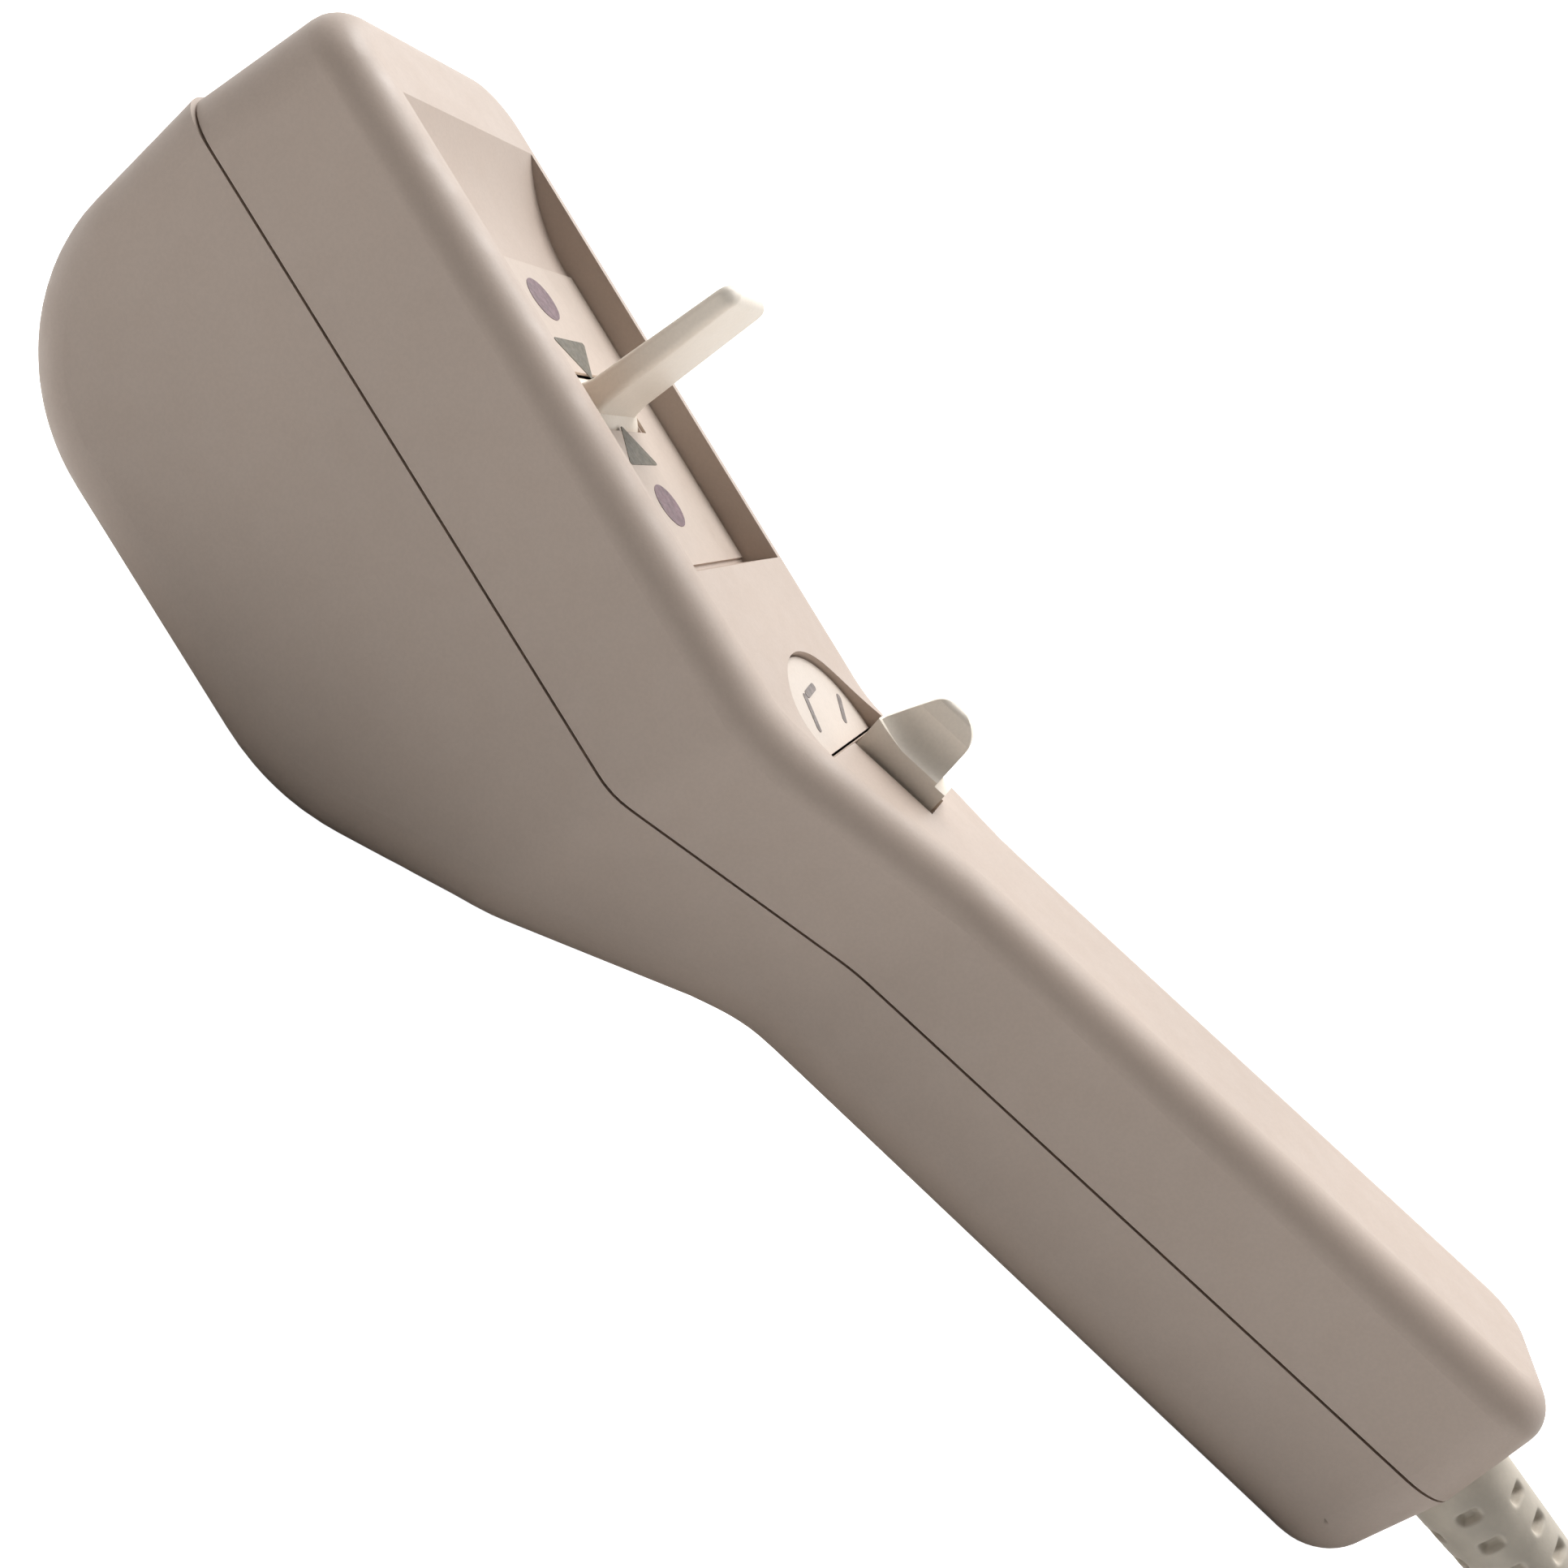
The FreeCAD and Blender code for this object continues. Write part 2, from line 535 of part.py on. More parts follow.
node(join(*[box((PX + dx - 0.5, 14.1, SENSOR_Z - 14.2), (1.0, 0.6, 3.7)) for dx in (-4.0, 0.0, 4.0)]),
     "sensor_terminals")

# Thumb rocker and its switch ----------------------------------------------------------------------
RX, RZ = 12.2, size("rocker_pivot")
BALL_Z = RZ - size("rocker_arm")


def rocker():
    """Block in the slot with a scooped thumb fin on top, a hub on the pin and a fork below."""
    half, front, rear = size("rocker_half"), size("rocker_front"), size("rocker_rear")
    top = Part.Arc(Vector(front, 0, 4.1), Vector(RX, 0, 2.8), Vector(rear, 0, 2.5)).toShape()
    rest = Part.makePolygon([Vector(rear, 0, 2.5), Vector(rear, 0, RZ), Vector(front, 0, RZ), Vector(front, 0, 4.1)])
    block = prism(Part.Wire([top] + rest.Edges), Y * half)
    fin = rounded_wire([(front + 0.2, 1.5, 0), (front + 0.2, 4.0, 3), (10.2, 11.3, 2.5), (16.7, 11.3, 4.0),
                        (16.7, 1.5, 0)], side)
    scoop = [Part.Arc(Vector(0, sign * half, 3.0), Vector(0, sign * 1.55, 4.7),
                      Vector(0, sign * 0.95, 8.4)).toShape() for sign in (-1, 1)]
    walls = [Part.LineSegment(Vector(0, sign * 0.95, 8.4), Vector(0, sign * 0.95, 10.5)).toShape() for sign in (-1, 1)]
    crown = Part.Arc(Vector(0, -0.95, 10.5), Vector(0, 0, 11.3), Vector(0, 0.95, 10.5)).toShape()
    base = Part.makePolygon([Vector(0, half, 3.0), Vector(0, half, 1.5), Vector(0, -half, 1.5), Vector(0, -half, 3.0)])
    bell = Part.Wire(Part.__sortEdges__(scoop + walls + [crown] + base.Edges))
    fin = prism(fin, Y * half).common(prism(bell, X * 40))
    hub = Part.makeCylinder(size("rocker_hub"), rear - front, Vector(front, 0, RZ), X)
    tail = slab((RX - 3.2, -half, BALL_Z - 1.5), (RX + 3.2, half, RZ))
    tongue = slab((3.6, -2.0, RZ - 7), (9.2, 2.0, RZ - 4.4))
    pin_bore = Part.makeCylinder(size("rocker_pin_r") + size("running_gap"), 40, Vector(-5, 0, RZ), X)
    fork = slab((RX - 5, -size("ball_r") - 0.07, BALL_Z - 3), (RX + 5, size("ball_r") + 0.07, BALL_Z + 2.2))
    return block.fuse([fin, hub, tail, tongue]).cut([pin_bore, fork]).removeSplitter()


def ridge_frame():
    """Bracket that hangs the rocker and its switch from the shell."""
    thick = size("plate_thick")
    plates = [slab((x, -8.0, -28.2), (x + thick, 8.0, -2.9)) for x in (1.4, 19.4)]
    floor = slab((1.4, -8.0, -28.2), (19.4 + thick, 8.0, -26.6))
    floor = floor.cut(slab((8.5, -7.0, -29), (15.9, 7.0, -26)))
    flanges = [slab((-4.6, -8.0, RIDGE_LEVEL - 1.6), (1.4, 8.0, RIDGE_LEVEL)),
               slab((21.0, -8.0, RIDGE_LEVEL - 1.6), (27.0, 8.0, RIDGE_LEVEL))]
    spring_post = slab((3.0, -2.0, RZ - 11), (5.4, 2.0, RZ - 9))
    frame = plates[0].fuse([plates[1], floor, spring_post] + flanges)
    bore = Part.makeCylinder(size("rocker_pin_r") + 0.02, 40, Vector(-5, 0, RZ), X)
    return frame.cut([bore] + [post((x, y, -9), 1.15, 6) for x, y in RIDGE_SCREWS]).removeSplitter()


node(feature(rocker(), "thumb_rocker"), "thumb_rocker", HANDLE)
node(feature(ridge_frame(), "rocker_bracket"), "rocker_bracket", HANDLE)
node(cylinder((0.6, 0, RZ), "@rocker_pin_r", 21.6, "x"), "rocker_pin", HANDLE)
node(join(*[join(cylinder((x, y, RIDGE_LEVEL - 1.6), "@small_screw_r", 4.6),
                 cylinder((x, y, RIDGE_LEVEL - 3.1), "@small_head_r", 1.5)) for x, y in RIDGE_SCREWS]),
     "bracket_screws", HANDLE)
rocker_hairpin = hairpin(2.4, size("spring_wire"), 10.8)
rocker_hairpin.Placement = Placement(Vector(4.4, 0, RZ), Rotation(Vector(1, 1, 1), 120))
node(feature(rocker_hairpin, "rocker_spring"), "rocker_spring", HANDLE)
switch_case = cut(
    box((RX - 5, -9.0, size("switch_top") - 6.5), ("@switch_long", "2 * @switch_half", "@switch_deep")),
    box((RX - 3.2, -5.8, -22.7), (6.4, 11.6, 1.5)),
    box((RX - 1.1, -2.3, -22), (2.2, 4.6, 3)),
)
node(switch_case, "switch_case", HANDLE)
slider = join(box((RX - 3.0, -4.0, -22.6), (6.0, 8.0, 1.2)),
              cylinder((RX, 0, -21.6), "@stem_r", 4.6), ball((RX, 0, BALL_Z), "@ball_r"))
node(slider, "switch_slider", HANDLE)
node(join(*[box((RX + dx - 0.3, y - 0.8, -30.4), (0.6, 1.6, 3.9)) for dx in (-2.5, 2.5) for y in (-5, 0, 5)]),
     "switch_terminals", HANDLE)

# Circuit board ------------------------------------------------------------------------------------
board = box((size("board_front"), -16, size("board_level")), ("@board_long", "2 * @board_half", "@board_thick"))
node(cut(board, *[cylinder((x, y, -52), 1.15, 5) for x, y in BOARD_SCREWS]), "circuit_board")
BOARD_TOP = size("board_level") + size("board_thick")
node(join(*[join(cylinder((x, y, size("board_level") - 5), "@small_screw_r", 6.6),
                 cylinder((x, y, BOARD_TOP), "@small_head_r", 1.5)) for x, y in BOARD_SCREWS]), "board_screws")
node(box((-41.5, -8.5, BOARD_TOP), (5.0, 17.0, 5.5)), "board_header")
node(join(box((-72.0, -6, BOARD_TOP), (9, 7, 1.8)), box((-72.0, 5, BOARD_TOP), (6, 5, 1.6)),
          cylinder((-75.5, -1, BOARD_TOP), 2.6, 8), box((-61.2, -3, BOARD_TOP), (2.2, 4, 1.2))), "board_components")

# Fasteners of the case and the cord clamp ---------------------------------------------------------
case_screws = []
for x, y, frame, level in CASE_SCREWS:
    seat = level - SEAT_THICK
    screw = Part.makeCylinder(size("screw_r"), SCREW_LONG, Vector(x, y, seat))
    head = Part.makeCylinder(size("head_r"), 2.0, Vector(x, y, seat - 2.0))
    cross = [Part.makeBox(3.6, 0.8, 1.0, Vector(x - 1.8, y - 0.4, seat - 2.0)),
             Part.makeBox(0.8, 3.6, 1.0, Vector(x - 0.4, y - 1.8, seat - 2.0))]
    whole = screw.fuse(head).cut(cross)
    whole.Placement = frame
    case_screws.append(whole)
node(feature(Part.makeCompound(case_screws), "case_screws"), "case_screws")
CLAMP_Z = CORD_LEVEL + size("cord_r")
node(cut(box((105.7, -10.0, CLAMP_Z), (4.6, 20.0, 2.0)),
         *[cylinder((x, y, CLAMP_Z - 1), 1.15, 4) for x, y in CLAMP_SCREWS]), "cord_clamp", HANDLE)
node(join(*[join(cylinder((x, y, CLAMP_Z - 7.5), "@small_screw_r", 9.5),
                 cylinder((x, y, CLAMP_Z + 2), "@small_head_r", 1.5)) for x, y in CLAMP_SCREWS]),
     "clamp_screws", HANDLE)

# Strain relief and cord ---------------------------------------------------------------------------
ELBOW = Vector(121.0, 0, CORD_LEVEL)
DROOP = Rotation(Y, size("relief_droop"))


def inner_cord(radius, reach):
    """The cord inside the housing and the relief: straight, then down at the droop."""
    straight = Part.makeCylinder(radius, ELBOW.x - 102.0, Vector(102.0, 0, CORD_LEVEL), X)
    drooping = Part.makeCylinder(radius, reach, ELBOW, DROOP.multVec(X))
    return straight.fuse([drooping, Part.makeSphere(radius, ELBOW)]).removeSplitter()


def relief():
    """Moulded boot: flange inside, neck through the end wall, and a tapering row of staggered links."""
    long = size("relief_long")
    flange = Part.makeCylinder(size("relief_flange_r"), 2.2, Vector(114.6, 0, CORD_LEVEL), X)
    neck = Part.makeCylinder(size("relief_neck_r") - 0.05, 6.0, Vector(114.8, 0, CORD_LEVEL), X)
    collar = Part.makeCylinder(size("relief_r"), 2.7, Vector(119.7, 0, CORD_LEVEL), X)
    boot = Part.makeCone(size("relief_r") - 0.05, size("relief_tip_r"), long, Vector(), X)
    pitch, slot, core = 2.9, 1.25, size("cord_r") + 0.8
    gaps = []
    for index in range(int((long - 6) / pitch)):
        x = 3.0 + index * pitch
        gap = Part.makeCylinder(10, slot, Vector(x, 0, 0), X).cut(Part.makeCylinder(core, slot, Vector(x, 0, 0), X))
        bridge = Part.makeBox(slot + 2, 3.4, 24, Vector(x - 1, -1.7, -12))
        bridge.rotate(Vector(x, 0, 0), X, 90 * (index % 2))
        gaps.append(gap.cut(bridge))
    boot = boot.cut(gaps)
    boot.Placement = Placement(ELBOW, DROOP)
    straight_bore = Part.makeCylinder(size("cord_r"), 14, Vector(110, 0, CORD_LEVEL), X)
    droop_bore = Part.makeCylinder(size("cord_r"), long + 6, ELBOW - DROOP.multVec(X) * 3, DROOP.multVec(X))
    return flange.fuse([neck, collar, boot]).cut([straight_bore, droop_bore])


node(feature(relief(), "strain_relief"), "strain_relief", HANDLE)
node(feature(inner_cord(size("cord_r"), size("relief_long") - 0.4), "inner_cord"), "inner_cord", HANDLE)

# Seat: the line that touches the belly's rear round and the handle's rounded foot lies on the floor ---
belly_x, belly_z, belly_r = -38.7, size("belly_level") + 35, 35.0
foot_r = size("low_round")
lean = math.atan((size("handle_end") - size("handle_foot")) / (size("handle_seam") - size("handle_bottom")))
foot_a = size("handle_foot") + foot_r * math.tan(lean) - foot_r / math.cos(lean)
foot_x, foot_z = on_handle(foot_a, size("handle_bottom") + foot_r)
span = math.hypot(foot_x - belly_x, foot_z - belly_z)
tilt = math.atan2(foot_z - belly_z, foot_x - belly_x) + math.asin((belly_r - foot_r) / span)
turn = Rotation(Y, math.degrees(tilt))
lift = belly_r - turn.multVec(Vector(belly_x, 0, belly_z)).z
ends = [piece.Shape.transformed(Placement(Vector(), turn).toMatrix(), True).optimalBoundingBox(True, False)
        for piece, frame in nodes[:2]]
shift = -(min(box.XMin for box in ends) + max(box.XMax for box in ends)) / 2
SEAT = Placement(Vector(shift, 0, lift), turn)


def on_floor(frame, *point):
    """A frame's point in the seated object's own frame."""
    return SEAT.multiply(frame).multVec(Vector(*point))


def tube(points, radius):
    """Round bar along straight runs, each corner an arc as large as its shorter run allows."""
    edges, start, turns = [], points[0], []
    for before, corner, after in zip(points, points[1:], points[2:]):
        back, ahead = before - corner, after - corner
        reach = 0.45 * min(back.Length, ahead.Length)
        half_turn = (math.pi - back.getAngle(ahead)) / 2
        turns.append(reach / math.tan(half_turn))
        back.normalize()
        ahead.normalize()
        inward = (back + ahead).normalize()
        middle = corner + inward * (turns[-1] / math.cos(half_turn) - turns[-1])
        edges.append(Part.LineSegment(start, corner + back * reach).toShape())
        start = corner + ahead * reach
        edges.append(Part.Arc(corner + back * reach, middle, start).toShape())
    edges.append(Part.LineSegment(start, points[-1]).toShape())
    path = Part.Wire(edges)
    along = (points[1] - points[0]).normalize()
    section = Part.Wire(Part.Circle(points[0], along, radius).toShape())
    return path.makePipeShell([section], True, False), path.Length, min(turns)


def lead(points, radius):
    """A wire inside the housing, its points in the head frame."""
    return tube([Vector(*point) for point in points], radius)[0]


def head_point(a, y, b):
    x, z = on_handle(a, b)
    return x, y, z


LEAD_R = 0.55
cord_leads = [lead([head_point(102, y * 0.2, CORD_LEVEL), head_point(97.6, y * 0.45, -18.8),
                    head_point(93.6, y, -22.5), head_point(62, y, -31.0), head_point(36, y, -32.2),
                    (21.0, y, -28.2), (-8.0, y * 0.95, -46.0), (-25.0, y * 0.9, -47.2), (-36.5, y * 0.9, -45.7)],
                   LEAD_R) for y in (-7.4, -5.9, 5.9, 7.4)]
node(feature(Part.makeCompound(cord_leads), "cord_leads"), "cord_leads")
switch_leads = [lead([head_point(RX - 2.5, y, -30.7), (12.5, y * 0.8, -31.5), (-6.0, y * 0.6, -42.5),
                      (-24.0, y * 0.6, -43.6), (-36.5, y * 0.6, -44.6)], LEAD_R) for y in (-5.0, 0.0, 5.0)]
node(feature(Part.makeCompound(switch_leads), "switch_leads"), "switch_leads")

# Free cord, drawn on the floor ----------------------------------------------------------------------
FLOOR = SEAT.inverse()
relief_tip = on_floor(HANDLE, *(ELBOW + DROOP.multVec(X) * size("relief_long")))
lead_points = [relief_tip, Vector(168.0, 0.0, 3.5), Vector(201.8, -19.5, 3.5), Vector(232.0, -19.5, 3.5)]
tail_points = [Vector(210.0, -19.5, 17.5), Vector(227.0, -19.3, 17.6), Vector(243.0, -16.0, 22.55),
               Vector(257.0, -16.0, 22.55)]
for points, label in ((lead_points, "cord_lead"), (tail_points, "cord_tail")):
    shape, length, tightest = tube(points, size("cord_r"))
    print(label, "radius", round(tightest, 1), "length", round(length, 1),
          "volume ratio", round(shape.Volume / (length * math.pi * size("cord_r") ** 2), 4))
    node(feature(shape, label), label, FLOOR)
HANK_X, HANK_Y = 210.0, 8.5
TURN_HIGH = 2 * size("cord_r")


def oval(radius, high):
    """Block with two parallel runs and round ends, as one turn of the hank lies."""
    return join(box((HANK_X, HANK_Y - size(radius), 0), ("@hank_long", f"2 * @{radius}", high)),
                cylinder((HANK_X, HANK_Y, 0), f"@{radius}", high),
                cylinder((HANK_X + size("hank_long"), HANK_Y, 0), f"@{radius}", high))


two_high = cut(oval("hank_r", 2 * TURN_HIGH), oval("hank_window_r", 3 * TURN_HIGH))
inner_column = oval("hank_window_r", 3 * TURN_HIGH)
for part in inner_column.Shapes:
    part.setExpression("Radius" if "Cylinder" in part.Name else "Width",
                       "Sizes.hank_window_r + 7" if "Cylinder" in part.Name else "2 * (Sizes.hank_window_r + 7)")
    if "Box" in part.Name:
        part.Placement.Base.y -= TURN_HIGH
last_turn = cut(oval("hank_r", 3 * TURN_HIGH), inner_column,
                box((HANK_X, HANK_Y - 40, 2 * TURN_HIGH), (100, 40, 20)))
node(join(two_high, last_turn), "cord_hank", FLOOR)

# Round plug, lying along X on the hank's near run ----------------------------------------------------
plug_x, plug_y, plug_z = 257.0, -16.0, 22.55


def along_plug(start, *sizes):
    """A round part of the plug from a distance along its axis: one radius and a length, or two and a length."""
    at = (plug_x + start, plug_y, plug_z)
    return cylinder(at, *sizes, "x") if len(sizes) == 2 else cone(at, *sizes, "x")


node(along_plug(0, 4.6, 6.6, 16), "plug_relief", FLOOR)
cover = join(along_plug(16, "@plug_r + 1.9", 20), along_plug(36, "@plug_r + 1.9", "@plug_r + 0.9", 2))
grips = [box((plug_x + 19 + 3 * k, plug_y - 9, plug_z + size("plug_r") + 1.4), (1.2, 18, 3)) for k in range(5)]
node(cut(cover, along_plug(28, "@plug_r - 0.4", 12), *grips), "plug_cover", FLOOR)
node(cut(join(along_plug(28, "@plug_r - 0.4", 10), along_plug(38, "@plug_r", 10)),
         along_plug(36, "@plug_r - 0.9", 14)), "plug_shell", FLOOR)
PIN_CIRCLE = 4.0
pin_places = [(plug_y + PIN_CIRCLE * math.cos(math.radians(k)), plug_z - PIN_CIRCLE * math.sin(math.radians(k)))
              for k in (0, 45, 90, 135, 180)]
node(cut(along_plug(36, "@plug_r - 0.9", 2.5),
         *[cylinder((plug_x + 35, y, z), "@plug_pin_r + 0.2", 5, "x") for y, z in pin_places]), "plug_insert", FLOOR)
node(join(*[cylinder((plug_x + 36, y, z), "@plug_pin_r + 0.2", 10, "x") for y, z in pin_places]), "plug_pins", FLOOR)

doc.recompute()
for piece in doc.Objects:
    if "Invalid" in piece.State or "Error" in piece.State:
        raise RuntimeError(f"{piece.Label} failed: {piece.State}")
os.makedirs("parts", exist_ok=True)
for piece, frame in nodes:
    piece.Placement = SEAT.multiply(frame).multiply(piece.Placement)
doc.recompute()
for piece, frame in nodes:
    if piece.Shape.isNull() or not piece.Shape.isValid():
        raise RuntimeError(f"{piece.Label} has no valid shape")
    piece.Shape.exportStep(f"parts/{piece.Label}.step")
    room = piece.Shape.optimalBoundingBox(True, False)
    print(f"{piece.Label:18} {len(piece.Shape.Solids)} {piece.Shape.Volume:9.1f}  "
          f"{room.XMin:7.2f} {room.YMin:7.2f} {room.ZMin:7.2f}  {room.XMax:7.2f} {room.YMax:7.2f} {room.ZMax:7.2f}")
for name, point, frame in (("paddle pivot", (PX, 0, PZ), HEAD), ("sensor axis", (PX, 0, SENSOR_Z), HEAD),
                           ("rocker pivot", (RX, 0, RZ), HANDLE), ("switch ball", (RX, 0, BALL_Z), HANDLE)):
    print(name, on_floor(frame, *point))
print("handle x", SEAT.multiply(HANDLE).Rotation.multVec(X), "head z", SEAT.Rotation.multVec(Z))
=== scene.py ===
"""Looks of a corded hand control: its finishes, its printed marks, its strain reliefs and its cord."""
import math

import bpy
import numpy as np
from mathutils import Matrix, Vector


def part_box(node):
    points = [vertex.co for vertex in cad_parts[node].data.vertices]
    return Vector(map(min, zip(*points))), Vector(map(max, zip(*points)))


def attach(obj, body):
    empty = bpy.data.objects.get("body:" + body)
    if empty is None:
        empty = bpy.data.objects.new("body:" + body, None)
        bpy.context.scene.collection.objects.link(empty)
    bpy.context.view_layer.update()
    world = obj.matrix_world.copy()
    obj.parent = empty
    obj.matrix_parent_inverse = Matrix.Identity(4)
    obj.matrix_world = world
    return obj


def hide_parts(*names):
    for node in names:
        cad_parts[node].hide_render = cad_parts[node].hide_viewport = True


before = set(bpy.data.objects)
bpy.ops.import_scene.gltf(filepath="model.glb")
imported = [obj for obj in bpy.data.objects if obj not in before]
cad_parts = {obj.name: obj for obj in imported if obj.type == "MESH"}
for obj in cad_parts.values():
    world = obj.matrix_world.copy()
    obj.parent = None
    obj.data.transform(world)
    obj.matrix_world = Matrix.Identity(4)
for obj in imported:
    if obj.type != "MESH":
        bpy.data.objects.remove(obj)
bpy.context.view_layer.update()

bl_info = {
    "name": "Corded Hand Control",
    "version": (1, 0, 0),
    "blender": (4, 5, 0),
    "location": "View3D > Sidebar > Hand Control",
    "description": "Finishes, printed marks, strain reliefs and cord of a corded hand control",
    "category": "Object",
}

MM = 1000  # millimetres in a metre

# The head frame: millimetres along the head's top face, turned about Y, then shifted and lifted on its seat.
HEAD_COS, HEAD_SIN = 0.9222886694139896, 0.38650175972506584
HEAD_SHIFT, HEAD_LIFT = -3.64147, 47.71104
# Levels of the label's and the dial's top faces, and of the recess floor that the paddle stands in.
LABEL_TOP, DIAL_TOP, RECESS_FLOOR = -4.0, -0.9, -4.4
INK_SUNK = 0.05
# The paddle: its place, its pivot's level, and its blade's height and half widths, in millimetres.
PADDLE_X, PIVOT_LEVEL = -48.3, -9.2
BLADE_TOP = PIVOT_LEVEL + 27.9
BLADE_ROOT_HALF, BLADE_TIP_HALF, BLADE_HALF_WIDE = 1.95, 1.3, 6.7
TOP_ROUND, TIP_ROUND = 2.2, 1.25
# The dial's three strokes, as the ends of each, and half their width.
DIAL_STROKES = [[(-3.4, -3.4), (0.8, -5.6)], [(-4.1, 1.9), (-3.6, -2.2)], [(-1.3, 9.6), (1.6, 6.3)]]
STROKE_HALF = 0.55

# The cord's route, metres: from the strain relief's tip to the hank, and from the hank to the plug.
CORD_LEAD = [(0.1503568, 0.0, 0.0068012), (0.1680, 0.0, 0.0035), (0.2018, -0.0195, 0.0035)]
CORD_TAIL = [(0.2270, -0.0193, 0.0176), (0.2430, -0.0160, 0.02255), (0.2570, -0.0160, 0.02255)]
# The hank: where its runs begin, how long they are, and where each of its turns lies.
HANK_START, HANK_RUN = (0.2100, 0.0085), 0.0620
HANK_LAYS = [(0.0280, 0.0035), (0.0210, 0.0035), (0.0210, 0.0105), (0.0280, 0.0105), (0.0280, 0.0175)]
# How far round a turn, as a share of it, each turn crosses to the next lay.
HANK_CROSSINGS = [(0.593, 0.713), (0.473, 0.593), (0.353, 0.473), (0.233, 0.353)]

# A tie's distance across the hank from its middle, and half its inside width.
TIE_SPREAD, TIE_HALF_WIDE = 0.0245, 0.0071
# Where the strain relief starts and which way it points.
RELIEF_ROOT, RELIEF_WAY = (0.113710, 0.0, 0.016852), (0.964387, 0.0, -0.264496)


def head_to_row(points):
    """Head-frame millimetres to row metres: turned about Y by the head's angle, then shifted and lifted."""
    x, y, z = np.asarray(points, float).T
    return np.column_stack([x * HEAD_COS + z * HEAD_SIN + HEAD_SHIFT, y,
                            z * HEAD_COS - x * HEAD_SIN + HEAD_LIFT]) / MM


# Surfaces -----------------------------------------------------------------------------------------
def add_piece(name, points, faces, body="housing", smooth=True):
    """A mesh object from an array of points and a list of faces, riding on a body."""
    mesh = bpy.data.meshes.new(name)
    mesh.from_pydata(points, [], faces)
    mesh.polygons.foreach_set("use_smooth", np.full(len(mesh.polygons), smooth))
    mesh.update()
    piece = bpy.data.objects.new(name, mesh)
    bpy.context.scene.collection.objects.link(piece)
    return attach(piece, body)


def turned_faces(rings, around, first=0):
    """Quads between rings of points; each ring's last point joins its first."""
    ring, place = np.meshgrid(np.arange(rings - 1), np.arange(around), indexing="ij")
    after = (place + 1) % around
    low, high = first + ring * around, first + (ring + 1) * around
    return np.stack([low + place, low + after, high + after, high + place], -1).reshape(-1, 4).tolist()


def add_turned(name, along, radius, root, way, body="housing"):
    """A closed turned surface: at a distance `along` the axis, a ring whose radius may differ with angle.

    Point = root + way * along + radius(along, angle) * (side * cos angle + up * sin angle), and one point
    on the axis closes each end.
    """
    rings, around = radius.shape
    way = np.asarray(way, float) / np.linalg.norm(way)
    side = np.cross(way, (0, 0, 1)) if abs(way[2]) < 0.9 else np.array((1.0, 0, 0))
    side /= np.linalg.norm(side)
    up = np.cross(side, way)
    angle = np.arange(around) * 2 * math.pi / around
    spokes = np.cos(angle)[:, None] * side + np.sin(angle)[:, None] * up
    ringed = np.asarray(root) + along[:, None, None] * way + radius[:, :, None] * spokes
    ends = np.asarray(root) + along[[0, -1], None] * way
    points = np.vstack([ringed.reshape(-1, 3), ends])
    faces = turned_faces(rings, around)
    place = np.arange(around)
    after = (place + 1) % around
    start, finish = rings * around, rings * around + 1
    last = (rings - 1) * around
    faces += np.stack([np.full(around, start), after, place], -1).tolist()
    faces += np.stack([np.full(around, finish), last + place, last + after], -1).tolist()
    piece = add_piece(name, points, faces, body)
    outwards(piece)
    return piece


def outwards(piece):
    """Turn a closed mesh's faces to point out, if its signed volume says that they point in."""
    mesh = piece.data
    mesh.calc_loop_triangles()
    corners = np.empty(len(mesh.loop_triangles) * 3, np.int32)
    mesh.loop_triangles.foreach_get("vertices", corners)
    points = np.empty(len(mesh.vertices) * 3)
    mesh.vertices.foreach_get("co", points)
    a, b, c = points.reshape(-1, 3)[corners.reshape(-1, 3)].transpose(1, 0, 2)
    if np.einsum("ij,ij->", a, np.cross(b, c)) < 0:
        mesh.flip_normals()


def round_outline(corners, radius, steps=8):
    """Outline of a convex shape's corners grown by a radius: an arc at each corner, from one edge's
    normal to the next's. Two corners give a bar with round ends, one gives a disc."""
    corners = np.atleast_2d(np.asarray(corners, float))
    if len(corners) == 1:
        angle = np.arange(steps * 6) * 2 * math.pi / (steps * 6)
        return corners + radius * np.column_stack([np.cos(angle), np.sin(angle)])
    edges = np.roll(corners, -1, 0) - corners
    leaving = np.arctan2(-edges[:, 0], edges[:, 1])
    arriving = np.roll(leaving, 1)
    turn = (leaving - arriving) % (2 * math.pi)
    angle = arriving[:, None] + turn[:, None] * np.linspace(0, 1, steps)
    spokes = np.stack([np.cos(angle), np.sin(angle)], -1)
    return (corners[:, None] + radius * spokes).reshape(-1, 2)


def add_pads(name, outlines, low, high, body="housing"):
    """Thin printed pads: each outline of the head's plane between two levels, one flat face at each end."""
    points, faces = [], []
    for outline in outlines:
        count, first = len(outline), sum(map(len, points))
        points += [np.column_stack([outline, np.full(count, level)]) for level in (low, high)]
        faces += turned_faces(2, count, first)
        faces.append(list(range(first + count - 1, first - 1, -1)))
        faces.append(list(range(first + count, first + 2 * count)))
    piece = add_piece(name, head_to_row(np.vstack(points)), faces, body, smooth=False)
    outwards(piece)
    return piece


